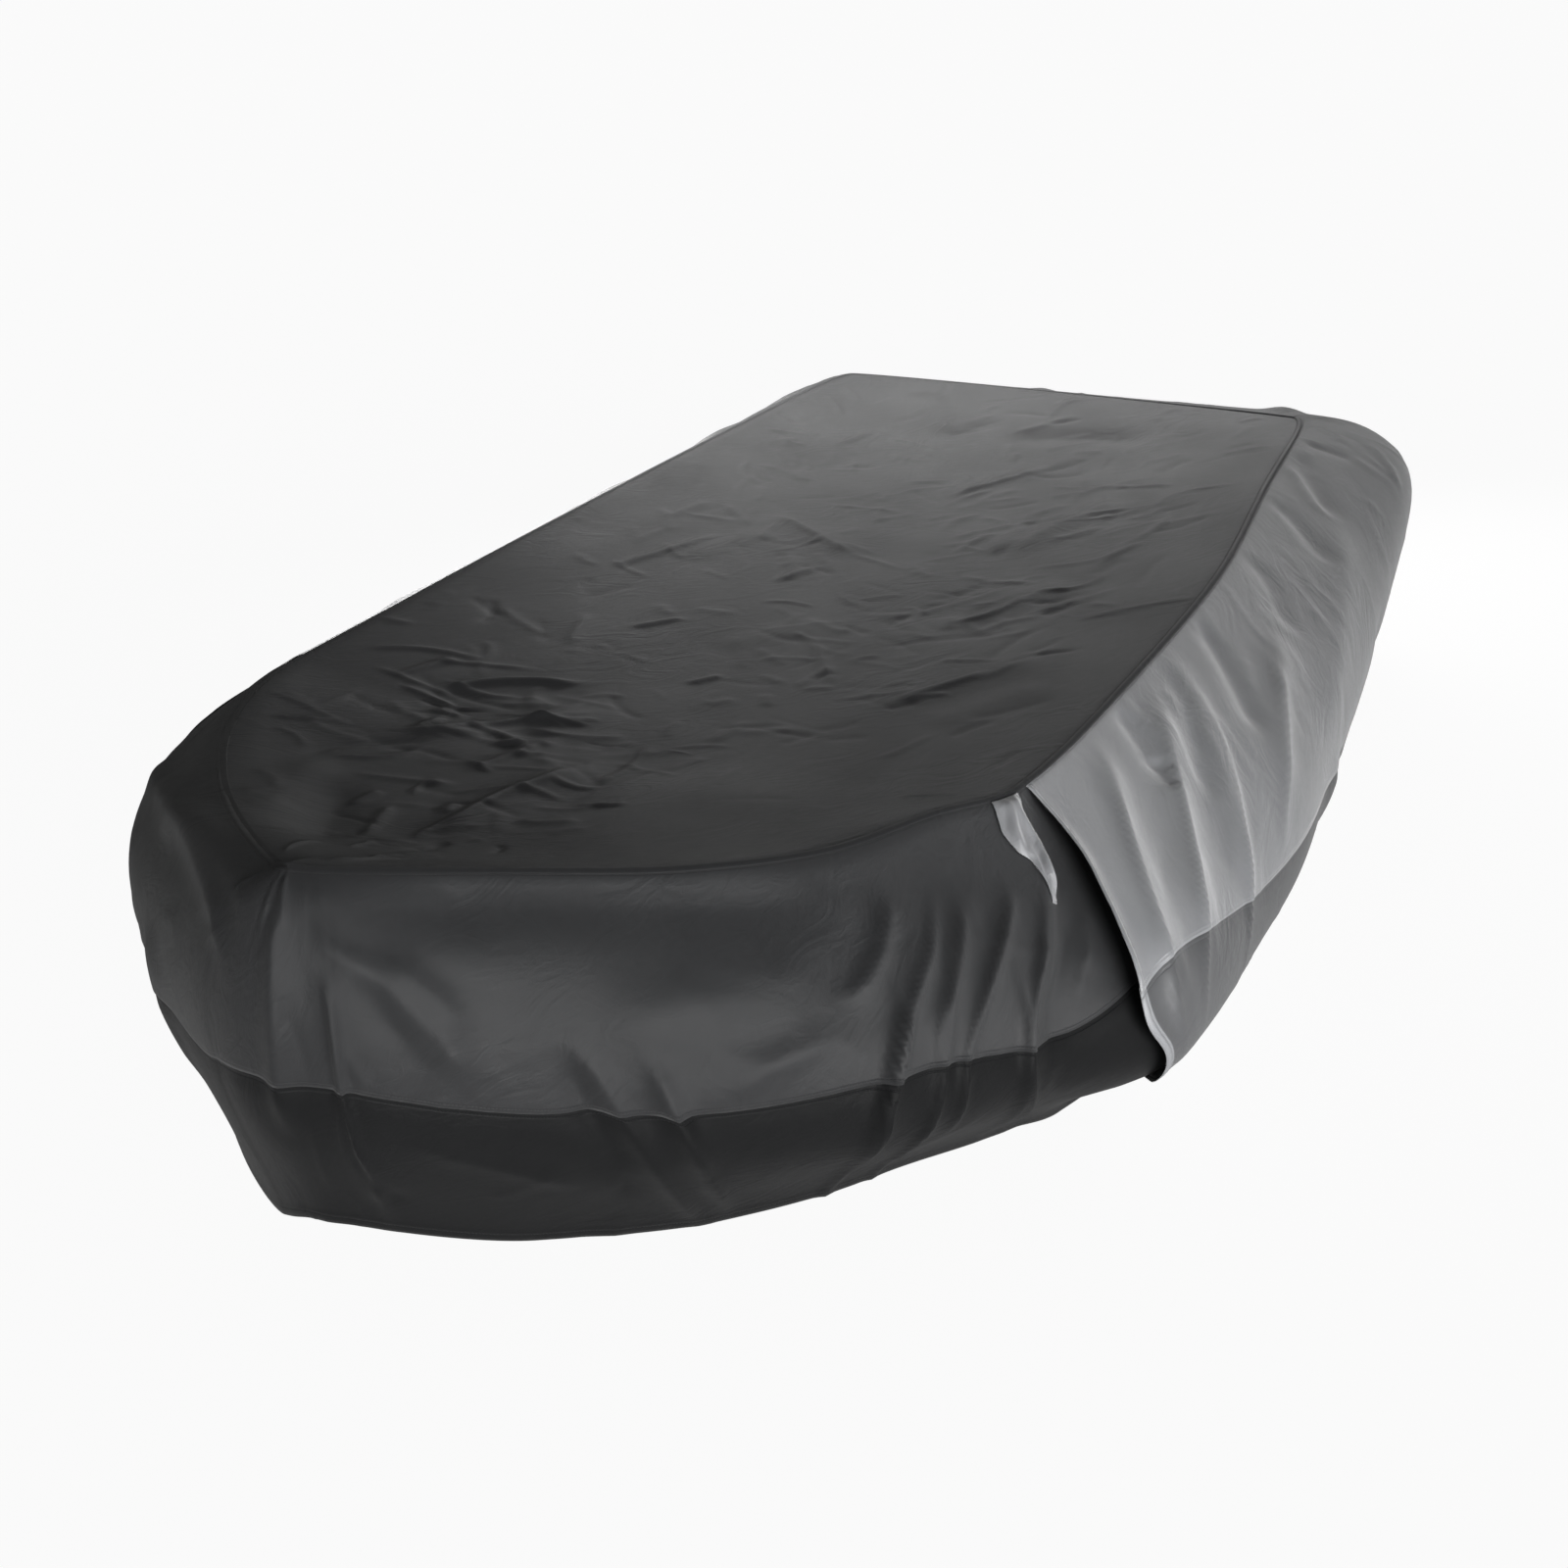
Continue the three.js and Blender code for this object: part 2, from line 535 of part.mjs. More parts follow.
function topPanel() {
  const portPlaces = [...bowPort, ...sidePort.slice(1)].map((column) => column(0));
  const starboardPlaces = [...bowStarboard, ...sideStarboard.slice(1)].map((column) => column(0));
  const last = portPlaces.length - 1;
  const sternPlaces = sternColumns.map((column) => column(0)).reverse();
  const sternStarboard = rimPoint(starboardPlaces[last]);
  const sternPort = rimPoint(portPlaces[last]);
  const outer = portPlaces.map((place, i) => {
    const port = rimPoint(place);
    const starboard = rimPoint(starboardPlaces[i]);
    const width = port.distanceTo(starboard);
    const toStern = port.x - sternPort.x;
    const nearStern = 1 - smoothStep(0, STERN_EASE, toStern);
    return ACROSS.map((share, j) => {
      if (i === last) return rimSeam(sternPlaces[j], -HALF_GAP);
      if (j === 0 || i === 0) return rimSeam(starboardPlaces[i], -HALF_GAP);
      if (j === ACROSS.length - 1) return rimSeam(place, -HALF_GAP);
      const point = starboard.clone().lerp(port, share);
      const curved = rimPoint(sternPlaces[j]).sub(sternStarboard.clone().lerp(sternPort, share));
      point.addScaledVector(curved, nearStern);
      const inside = Math.min(Math.min(share, 1 - share) * width, toStern);
      const spread = 4 * share * (1 - share) * (1 - nearStern) * smoothStep(0, SAG.width, width);
      point.z -= DIP.depth * (1 - Math.exp(-inside / DIP.width)) + SAG.depth * spread;
      point.z += topHeight(point.x, point.y) * smoothStep(0, RIM_CALM, inside);
      return point;
    });
  });
  const inner = outer.map((row, i) => row.map((point, j) => {
    const ahead = outer[Math.max(i - 1, 0)][j];
    const behind = outer[Math.min(i + 1, last)][j];
    const left = row[Math.min(j + 1, row.length - 1)];
    const right = row[Math.max(j - 1, 0)];
    const normal = left.clone().sub(right).cross(behind.clone().sub(ahead)).normalize();
    const lean = i === 0 ? 1 : Math.max(normal.z, LEAN_MIN);
    return point.clone().add(new THREE.Vector3(0, 0, -CLOTH / lean));
  }));
  return sheetGeometry(outer, inner);
}

// Finishes: a thin dark grey woven cloth, and a closer, darker one for the band.
const greyCloth = new THREE.MeshStandardMaterial({ color: 0x47484b, roughness: 0.62, metalness: 0 });
const darkCloth = new THREE.MeshStandardMaterial({ color: 0x2f3033, roughness: 0.62, metalness: 0 });

const ENDS = [1, -1];
const bowLoop = [...bowStarboard.slice(1).reverse(), ...bowPort];
const starboardLoop = [...sideStarboard].reverse();
const pieces = [
  ['top_panel', topPanel(), greyCloth],
  ['bow_skirt', sideStrip(bowLoop, skirtDowns, bowCloth, ENDS), greyCloth],
  ['port_skirt', sideStrip(sidePort, skirtDowns, sideCloth, ENDS), greyCloth],
  ['starboard_skirt', sideStrip(starboardLoop, skirtDowns, sideCloth, ENDS), greyCloth],
  ['stern_skirt', sideStrip(sternColumns, skirtDowns, foldedSide, ENDS), greyCloth],
  ['bow_band', sideStrip(bowLoop, bandDowns, bowCloth, ENDS), darkCloth],
  ['port_band', sideStrip(sidePort, bandDowns, sideCloth, ENDS), darkCloth],
  ['starboard_band', sideStrip(starboardLoop, bandDowns, sideCloth, ENDS), darkCloth],
  ['stern_band', sideStrip(sternColumns, bandDowns, foldedSide, ENDS), darkCloth],
];

// The middle of the whole cover in plan, as the tables place it, becomes the origin.
const MIDDLE = { x: -28.76, y: 13.78 };
const cover = new THREE.Group();
for (const [name, geometry, material] of pieces) {
  geometry.translate(-MIDDLE.x, -MIDDLE.y, 0);
  const mesh = new THREE.Mesh(geometry, material);
  mesh.name = name;
  cover.add(mesh);
}

export default cover;
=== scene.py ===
"""A fitted cloth cover draped over a small inflatable kayak: its cloth, seams, hem bands and stage.

The tables are in millimetres, as a sail maker would set them out, and the meshes are in metres.
"""

import math

import bpy
import numpy as np
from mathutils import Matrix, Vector
from mathutils.kdtree import KDTree


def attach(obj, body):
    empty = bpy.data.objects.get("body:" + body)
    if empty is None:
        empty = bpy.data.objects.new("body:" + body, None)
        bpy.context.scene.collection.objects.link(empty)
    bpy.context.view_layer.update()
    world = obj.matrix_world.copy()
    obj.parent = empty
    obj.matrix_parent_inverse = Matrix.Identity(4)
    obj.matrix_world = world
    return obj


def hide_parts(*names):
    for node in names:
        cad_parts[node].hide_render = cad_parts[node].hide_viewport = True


bl_info = {
    "name": "Kayak cover",
    "version": (1, 0, 0),
    "blender": (4, 5, 0),
    "location": "3D View > Sidebar > Cover",
    "description": "Builds the draped cloth, seams and stage of a fitted kayak cover",
    "category": "Object",
}

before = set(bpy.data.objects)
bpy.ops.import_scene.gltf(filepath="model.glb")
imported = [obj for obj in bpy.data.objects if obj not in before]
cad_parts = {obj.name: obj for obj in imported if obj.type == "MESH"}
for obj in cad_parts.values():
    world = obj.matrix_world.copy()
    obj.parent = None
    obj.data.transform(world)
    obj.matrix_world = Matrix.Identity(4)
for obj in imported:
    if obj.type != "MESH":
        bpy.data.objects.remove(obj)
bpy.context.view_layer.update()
MM = 0.001
# The tables' x and y at the middle of the cover's box in plan.
MIDDLE = (-28.76, 13.78)
# Places along the loop are measured this far out from the rim.
BULGE_REACH = 200.0


def table(columns, rows):
    """Names the values of each row of a table."""
    names = columns.split()
    return [dict(zip(names, row)) for row in rows]


# The rim seam and the side cloth's section, at places from the bow tip to the middle of the stern.
# x, y, z: the rim seam. heading: the way the cloth falls in plan. start: how steeply it leaves the rim.
# bulge, bulge_z: how far it stands out, and at what height. hem, hem_z: the same for the hem. band: its height.
SECTION = "x y z heading start bulge bulge_z hem hem_z band"
TIP = table(SECTION, [
    (1412, 8, 652, 0, 42, 72, 430, 20, 223, 225),
])
PORT = table(SECTION, [
    (1396, 34, 646, 44, 42, 82, 420, 22, 212, 225),
    (1265, 160, 608, 50, 46, 115, 360, 45, 153, 230),
    (1125, 303, 572, 53, 52, 145, 320, 65, 137, 225),
    (975, 413, 546, 61, 56, 178, 300, 82, 135, 235),
    (815, 475, 528, 71, 55, 215, 275, 95, 99, 245),
    (675, 535, 510, 82, 45, 255, 245, 112, 78, 334),
    (345, 562, 500, 90, 40, 270, 220, 155, 15, 296),
    (-225, 585, 500, 90, 36, 230, 235, 150, 0, 240),
    (-800, 557, 500, 91, 26, 246, 290, 130, 0, 230),
    (-1245, 538, 500, 96, 6, 244, 360, 110, 0, 230),
    (-1312, 518, 500, 135, 3, 244, 370, 105, 0, 230),
])
STARBOARD = table(SECTION, [
    (1394, 22, 646, 44, 42, 82, 450, 32, 200, 225),
    (1265, 180, 608, 48, 40, 100, 418, 42, 151, 230),
    (1125, 318, 572, 52, 40, 120, 388, 48, 141, 225),
    (975, 434, 546, 60, 44, 145, 350, 60, 130, 230),
    (815, 514, 528, 71, 46, 178, 310, 85, 96, 235),
    (675, 556, 510, 82, 44, 208, 280, 100, 70, 240),
    (345, 570, 500, 90, 42, 228, 245, 150, 15, 240),
    (-225, 562, 500, 90, 40, 228, 250, 150, 0, 235),
    (-800, 545, 500, 91, 38, 220, 280, 130, 0, 230),
    (-1245, 520, 500, 96, 30, 216, 320, 110, 0, 230),
    (-1312, 496, 500, 135, 20, 210, 335, 105, 0, 230),
])
STERN = table(SECTION, [
    (-1332, 0, 500, 180, 14, 210, 345, 100, 0, 230),
])
SHOULDER_ROW = 5
CORNER_ROW = 10

# Main folds of the side cloth, each along a path of places on the loop and lengths of cloth down from the rim.
# A fold stands out by its height, or is a trough where that is negative. Its crest falls away over its width.
FOLD = "path width height"
MAIN_FOLDS = table(FOLD, [
    (((1470, 10), (1444, 35), (1340, 120), (1264, 186), (1192, 262), (1144, 356)), 26, 9),
    (((1700, 3), (1648, 59), (1552, 115), (1456, 175), (1384, 222), (1320, 268), (1228, 333)), 30, 12),
    (((1820, 0), (1800, 20), (1692, 118), (1636, 171), (1564, 227), (1496, 293), (1444, 367)), 30, 12),
    (((1780, 10), (1716, 82), (1612, 148), (1540, 205)), 26, -8),
    (((1560, 5), (1556, 41), (1500, 130)), 24, -7),
    (((1970, 6), (1908, 89), (1836, 159), (1784, 204)), 26, -8),
    (((2148, 135), (1990, 175), (1840, 217), (1692, 301)), 36, 9),
    (((2760, 130), (2684, 162), (2388, 217), (2144, 260), (1990, 300)), 46, 9),
    (((2330, 20), (2256, 91), (2148, 150)), 34, -6),
    (((2960, 10), (2796, 94), (2720, 150)), 28, -8),
    (((2660, 15), (2556, 127), (2500, 180)), 30, -6),
    (((2080, 330), (2040, 600)), 60, 10),
    (((2620, 300), (2600, 600)), 55, -9),
    (((1068, 105), (992, 173), (924, 213), (888, 237), (852, 273)), 24, 5),
    (((1004, 87), (924, 151), (872, 195), (824, 223), (796, 266)), 24, 5),
    (((900, 100), (844, 159), (788, 215), (760, 283), (732, 353), (715, 420)), 24, 6),
    (((872, 64), (812, 128), (768, 163), (728, 181)), 28, 4),
    (((784, 46), (744, 99), (704, 133)), 32, 3),
    (((430, 178), (536, 160), (600, 144), (660, 142), (730, 125)), 42, 7),
    (((520, 263), (600, 235), (648, 222), (708, 208)), 32, 4),
    (((496, 202), (512, 259), (524, 314), (544, 373)), 26, 4),
    (((404, 190), (416, 234), (428, 271), (452, 316), (470, 370)), 28, -5),
    (((160, 105), (164, 153), (170, 230)), 24, 4),
    (((240, 85), (272, 141), (304, 195), (320, 230)), 28, 5),
    (((215, 110), (252, 166), (296, 221)), 26, -4),
    (((180, 300), (235, 420)), 30, 4),
    (((62, 10), (52, 150), (44, 310)), 30, 11),
    (((190, 50), (480, 38), (780, 60)), 38, -9),
    (((-250, 15), (-560, 60), (-1000, 170)), 30, 10),
    (((-420, 170), (-460, 420)), 45, 9),
    (((-820, 200), (-760, 460)), 40, -9),
    (((-1430, 50), (-1360, 200), (-1270, 380)), 30, 10),
    (((-1720, 30), (-1640, 200), (-1500, 420)), 34, 12),
    (((-2080, 60), (-1930, 360)), 50, -9),
    (((-2420, 40), (-2330, 240), (-2280, 460)), 45, 11),
    (((-2900, 90), (-2800, 420)), 55, 9),
    (((-3180, 20), (-3080, 300)), 32, -8),
    (((3560, 20), (3600, 330)), 34, 10),
    (((3830, 60), (3800, 480)), 48, -8),
    (((4110, 20), (4140, 420)), 42, 10),
    (((4450, 40), (4400, 360)), 40, 9),
])
# Each fold dies out over this share of its length at both ends, and all folds die out near the rim.
FOLD_FADE = 0.25
FOLD_REACH = 3.0
RIM_FADE = 28.0
# How sharply the crests of each kind of fold are drawn up, from 0 to 1.
SHARPNESS = {"side": 0.25, "top": 0.2, "crease": 0.6}

# The shoulder pleat by scaled length down from the rim: the side skirt's front edge, the bow skirt's last ridge
# and its tuck's end, measured aft of the shoulder, and how deep the tuck lies.
PLEAT = table("down edge ridge end depth", [
    (0, 20, -35, 21, 0),
    (12, 20, -38, 34, 5),
    (24, 20, -42, 42, 10),
    (50, 18, -50, 52, 16),
    (105, 2, -80, 70, 21),
    (180, -40, -158, 38, 24),
    (250, -76, -232, 0, 24),
    (315, -96, -250, -6, 15),
    (400, -68, -228, 40, 6),
    (500, -36, -195, 110, 3),
    (600, 66, -160, 190, 3),
])
# The scaled lengths down of the skirt's lower edge, where the band starts, and of the hem.
SKIRT_DOWN = 290.0
HEM_DOWN = 600.0
TUCK_BEND = 46.0
# The tuck's hem hangs lower where it shows, and is drawn up where it lies hidden behind the side skirt.
TUCK_HANG = {"near": 40.0, "far": 4.0, "reach": 190.0, "rise": 80.0}
TUCK_SHOWN = (20.0, 90.0)
TUCK_HIDDEN = (40.0, 120.0)
FLOOR_ROOM = 3.0
# The port side is drawn in low down, behind the shoulder.
PORT_DRAW = {"aft": 330.0, "width": 230.0, "depth": 19.0, "from": 40.0, "full": 260.0}
# The side skirt's front edge rolls and flares outward, and its front corner is drawn up, most of all at the tip.
CORNER_LIFTS = ({"height": 45.0, "width": 120.0}, {"height": 14.0, "width": 40.0})
ROLL = {"width": 16.0, "height": 6.0, "full": 150.0}
FLARE = {"width": 95.0, "height": 8.0, "from": 200.0, "full": 350.0, "fade": 400.0}
STARBOARD_ROLL = 0.3

# The band is sewn behind the skirt's low edge, and its own hem is turned up once.
BAND_LAP = 6.0
LAP_GAP = 0.2
LAP_EASE = 26.0
BOW_HEM_RISE = 6.0
HEM = {"width": 18.0, "height": 0.9, "soft": 3.0}
# A fold is pushed along the normal of the cloth taken over this length.
PUSH_REACH = 14.0

# The top sags between the rims and dips just inside the rim seam.
DIP = {"depth": 6.0, "width": 60.0}
SAG = {"depth": 38.0, "width": 700.0}
STERN_EASE = 420.0
RIM_CALM = 40.0

# The rim's corner is rounded over a width on each side, and the bound seam stands up by a share of its height.
RIM_EASE = table("q width welt", [
    (-3406, 25, 0.5),
    (-1232, 32, 0.3),
    (-900, 45, 0.2),
    (-400, 62, 0.1),
    (-150, 60, 0.1),
    (0, 46, 0.1),
    (400, 44, 0.3),
    (900, 30, 0.6),
    (1204, 16, 0.9),
    (1500, 12, 1),
    (3378, 14, 1),
    (3900, 22, 0.6),
])
# The top leaves the rim at this angle below level, in degrees.
TOP_LEAN = 9.0
EASE_SPACING = 3.0
EASE_REACH = 1.5

# Main folds of the top, along paths of x and y.
TOP_FOLDS = table(FOLD, [
    (((1121, -23), (965, -46), (864, -20), (770, -19)), 34, 7),
    (((980, 15), (880, 32), (739, 36), (670, 30)), 32, -3),
    (((1289, -60), (1104, -177), (1000, -230)), 36, -7),
    (((1230, -160), (1058, -255), (960, -285)), 34, 5),
    (((870, -290), (695, -186), (560, -70)), 36, 5),
    (((700, -335), (566, -217), (534, -123)), 34, -3),
    (((-580, -30), (-710, 40), (-840, 100), (-1010, 165)), 36, 7),
    (((-290, 160), (-416, 231), (-583, 273), (-700, 345)), 36, 7),
    (((-345, -275), (-279, -149), (-195, -22)), 38, 5),
    (((-30, -290), (-207, -253), (-240, -170)), 38, 3),
    (((90, 200), (13, 282), (-130, 317), (-200, 370)), 34, 5),
    (((440, 240), (327, 311), (236, 370), (150, 410)), 34, 5),
    (((480, 335), (372, 399), (265, 464)), 34, 3),
    (((-1010, -40), (-1090, 106), (-1088, 290)), 42, -7),
    (((300, -70), (195, -14), (120, 70)), 34, 3),
    (((-1240, -300), (-1070, -190), (-980, -135)), 38, 7),
])

# The cloth bunched up at the head of the port pleat: its fore and aft edges by length down from the rim.
GATHER = table("s fore aft", [
    (5, 1128, 1192),
    (30, 1114, 1173),
    (55, 1104, 1160),
    (78, 1104, 1149),
    (95, 1113, 1139),
    (122, 1108, 1124),
    (154, 1093, 1106),
])
GATHER_RISE = 10.0
GATHER_LIFT = 1.9
# Its strands, across its width from 0 to 1: how far each stands up, its middle, how it sways, its width, and the
# shares of the gather's length between which it dies out, over 1 where it doesn't.
GATHER_STRANDS = table("rise middle sway bends start width fade", [
    (0.7, 0.3, 0.1, 9, 0, 0.2, (0.4, 0.62)),
    (0.8, 0.8, -0.09, 8, 1, 0.15, (2, 3)),
])

# Fine creases of the side cloth.
CREASES = table(FOLD, [
    (((1432, 41), (1364, 92), (1260, 178), (1192, 248), (1152, 319), (1190, 440)), 8, 6),
    (((1648, 41), (1500, 144), (1404, 208), (1312, 267), (1236, 337), (1230, 440)), 8, 6),
    (((1768, 85), (1664, 183), (1516, 273), (1436, 360), (1400, 450)), 9, 6),
    (((2050, 120), (1952, 185), (1752, 264), (1620, 352)), 12, 6),
    (((1528, 97), (1484, 143)), 22, -7),
    (((2870, 8), (2790, 64), (2700, 130)), 18, 5),
    (((2123, 120), (2020, 156), (1923, 200)), 20, 3),
    (((1112, 118), (1040, 196), (965, 262), (948, 310), (960, 370), (984, 425), (1020, 560)), 9, 8),
    (((1076, 106), (988, 172), (908, 223), (868, 260), (852, 291), (850, 420)), 8, 8),
    (((972, 103), (916, 160), (872, 199), (828, 230), (812, 290)), 9, 7),
    (((940, 76), (880, 145), (812, 192), (780, 226), (760, 267), (740, 305), (752, 440)), 8, 9),
    (((860, 71), (808, 127), (752, 168), (724, 183)), 12, 8),
    (((704, 215), (644, 222), (592, 245), (564, 256)), 16, 4),
    (((496, 209), (504, 247), (520, 286), (548, 373), (572, 440)), 10, 5),
    (((400, 193), (416, 252), (440, 312), (485, 425)), 16, -6),
    (((-684, 76), (-336, 32), (60, 63)), 26, 5),
    (((54, 4), (62, 26), (82, 70)), 12, 6),
    (((156, 105), (164, 161), (160, 238), (150, 340)), 9, 5),
    (((132, 72), (244, 109), (284, 167), (330, 236)), 20, 5),
    (((256, 96), (300, 141), (324, 181)), 14, 4),
    (((168, 310), (256, 425)), 12, -4),
    (((244, 300), (348, 353), (430, 390)), 18, 4),
    (((1152, 165), (1112, 213), (1076, 254)), 18, 4),
    (((-526, 56), (-796, 104), (-1066, 200)), 18, 4),
    (((404, 165), (430, 215), (464, 287), (500, 360), (540, 437), (580, 520)), 13, 9),
    (((480, 190), (498, 225), (516, 282), (540, 330), (570, 400), (610, 500)), 12, 9),
    (((804, 150), (788, 215), (762, 260), (748, 300), (738, 360), (736, 420), (730, 540)), 11, 10),
    (((884, 170), (858, 215), (828, 263), (814, 330), (804, 410), (800, 540)), 10, 8),
    (((985, 170), (966, 240), (942, 308), (950, 370), (966, 430), (1000, 560)), 10, 7),
    (((172, 100), (172, 168), (168, 244), (185, 300), (216, 357), (240, 480)), 11, 8),
    (((-60, 130), (-160, 92), (-268, 70), (-440, 50), (-640, 90)), 22, 9),
    (((3213, 32), (3150, 74), (3093, 104)), 13, 4),
    (((3183, 144), (3100, 190), (3023, 248)), 15, 4),
    (((3030, 16), (3025, 136)), 26, -6),
])

# Groups of fine creases of the side cloth, strewn round (q, s). heading: 0 along the loop, 90 straight down.
STREWN_SIDE = table("q s spread_q spread_s heading turn count length width height", [
    (1190, 22, 26, 12, 96, 14, 12, 46, 6, 1.9),
    (1600, 90, 180, 60, 128, 12, 22, 120, 11, 1.6),
    (1420, 250, 160, 80, 132, 14, 20, 130, 12, 1.4),
    (2000, 160, 200, 90, 140, 16, 20, 150, 13, 1.3),
    (2600, 170, 260, 100, 146, 18, 24, 150, 14, 1.3),
    (3050, 120, 120, 90, 130, 18, 18, 110, 11, 1.6),
    (960, 190, 90, 70, 124, 12, 16, 100, 9, 1.6),
    (560, 210, 190, 70, 30, 40, 18, 100, 13, 1.3),
    (260, 200, 120, 90, 80, 24, 14, 110, 12, 1.4),
    (420, 430, 300, 60, 60, 40, 16, 90, 15, 1.2),
    (900, 430, 160, 60, 110, 24, 12, 90, 13, 1.2),
    (80, 80, 60, 50, 100, 20, 10, 70, 9, 1.4),
    (-420, 120, 200, 70, 150, 16, 16, 120, 12, 1.4),
    (-900, 220, 200, 110, 60, 30, 18, 120, 13, 1.4),
    (-1600, 220, 300, 120, 52, 20, 26, 140, 13, 1.4),
    (-2500, 220, 420, 120, 56, 24, 30, 140, 14, 1.4),
    (-3200, 160, 160, 110, 60, 24, 16, 110, 12, 1.6),
    (3500, 180, 160, 110, 110, 24, 16, 110, 12, 1.6),
    (4040, 230, 320, 130, 90, 30, 24, 130, 13, 1.4),
    (1900, 470, 400, 60, 96, 20, 18, 110, 15, 1.4),
])

# Fine creases of the top.
TOP_CREASES = table(FOLD, [
    (((1110, -26), (965, -46), (870, -22), (790, -19)), 10, 4),
    (((864, 20), (780, 45), (662, 16)), 10, 4),
    (((902, -130), (775, -106), (700, -106)), 10, 4),
    (((1083, -168), (1011, -169)), 10, 4),
    (((1171, -81), (1045, -131)), 10, 4),
    (((993, -314), (907, -303), (817, -215)), 12, -3),
    (((849, -271), (695, -186), (600, -100)), 9, 4),
    (((649, -343), (550, -276), (506, -170)), 11, 6),
    (((807, -269), (740, -252)), 9, 4),
    (((644, -413), (522, -377)), 11, 4),
    (((71, -380), (-83, -328), (-201, -289)), 11, 4),
    (((-17, -111), (-136, -72)), 11, 4),
    (((282, -227), (195, -165)), 9, 4),
    (((-766, 261), (-801, 388)), 11, 4),
    (((-153, 208), (-171, 305)), 11, 3),
    (((-88, 413), (-82, 461)), 11, 2),
    (((-802, -329), (-944, -299)), 11, 4),
    (((201, 58), (361, 154)), 10, 4),
    (((439, -45), (383, -8)), 9, 4),
    (((-600, -10), (-710, 46), (-860, 112)), 11, 4),
    (((-345, -262), (-279, -149), (-205, -40)), 11, 4),
    (((70, 222), (13, 282), (-110, 310)), 9, 4),
    (((400, 262), (327, 311), (246, 366)), 9, 4),
])

# Groups of fine creases of the top, strewn round (x, y). heading: 0 ahead, 90 to port.
STREWN_TOP = table("x y spread_x spread_y heading turn count length width height", [
    (860, -130, 170, 110, 118, 26, 46, 110, 9, 2.6),
    (1130, -20, 110, 70, 160, 30, 26, 80, 8, 2.6),
    (640, -280, 150, 110, 92, 18, 26, 130, 11, 2.6),
    (450, 80, 260, 160, 130, 34, 46, 90, 9, 1.9),
    (120, 60, 220, 150, 60, 40, 46, 80, 9, 1.9),
    (-100, 330, 280, 110, 152, 14, 34, 170, 11, 2.6),
    (-500, 200, 260, 130, 152, 16, 34, 160, 11, 2.6),
    (-300, -150, 260, 160, 40, 40, 40, 90, 10, 1.9),
    (-900, 0, 220, 220, 150, 24, 40, 120, 11, 2.1),
    (-1100, 250, 140, 140, 150, 20, 18, 110, 10, 2.1),
    (-700, -350, 300, 110, 20, 30, 26, 110, 11, 2.1),
    (200, -380, 300, 90, 16, 26, 24, 100, 11, 2.1),
])
SEEDS = {"side": 11, "top": 5}

# Spacing of the meshes' rows and columns. The bow's columns lean over towards the ridge from RIDGE_START before
# the shoulder, and a side's lean back upright over LEAN_EASE.
ROW_SHARE = 0.95
RIDGE_START = 420.0
RIDGE_LENGTH = 330.0
TUCK_LENGTH = 190.0
TUCK_FINER = 0.7
LEAN_EASE = 900.0
TOP_WIDTH = 1130.0


def smooth_curve(xs, ys):
    """A smooth curve through the points that never overshoots them."""
    xs = np.asarray(xs, float)
    ys = np.asarray(ys, float)
    widths = np.diff(xs)
    slopes = np.diff(ys) / widths
    tangents = np.zeros_like(xs)
    tangents[0], tangents[-1] = slopes[0], slopes[-1]
    before, after = slopes[:-1], slopes[1:]
    left, right = widths[:-1], widths[1:]
    same_way = before * after > 0
    before = np.where(same_way, before, 1.0)
    after = np.where(same_way, after, 1.0)
    mean = 3 * (left + right) / ((2 * right + left) / before + (right + 2 * left) / after)
    tangents[1:-1] = np.where(same_way, mean, 0.0)

    def curve(x):
        x = np.asarray(x, float)
        i = np.clip(np.searchsorted(xs, x) - 1, 0, len(xs) - 2)
        t = np.clip((x - xs[i]) / widths[i], 0, 1)
        rise = ys[i + 1] - ys[i]
        a = tangents[i] * widths[i] - rise
        b = rise - tangents[i + 1] * widths[i]
        return ys[i] + t * rise + t * (1 - t) * (a * (1 - t) + b * t)

    return curve


def smooth_step(low, high, x):
    """0 below low, 1 above high, and smooth between them."""
    t = np.clip((x - low) / np.maximum(high - low, 1e-9), 0, 1)
    return t * t * (3 - 2 * t)


def unit(v):
    return v / np.maximum(np.linalg.norm(v, axis=-1, keepdims=True), 1e-12)


def bezier(points, t):
    """Points of cubic curves: points is (4, n, 2), t is (n, m)."""
    a, b, c, d = (p[:, None, :] for p in points)
    t = t[..., None]
    return (1 - t) ** 3 * a + 3 * (1 - t) ** 2 * t * b + 3 * (1 - t) * t**2 * c + t**3 * d


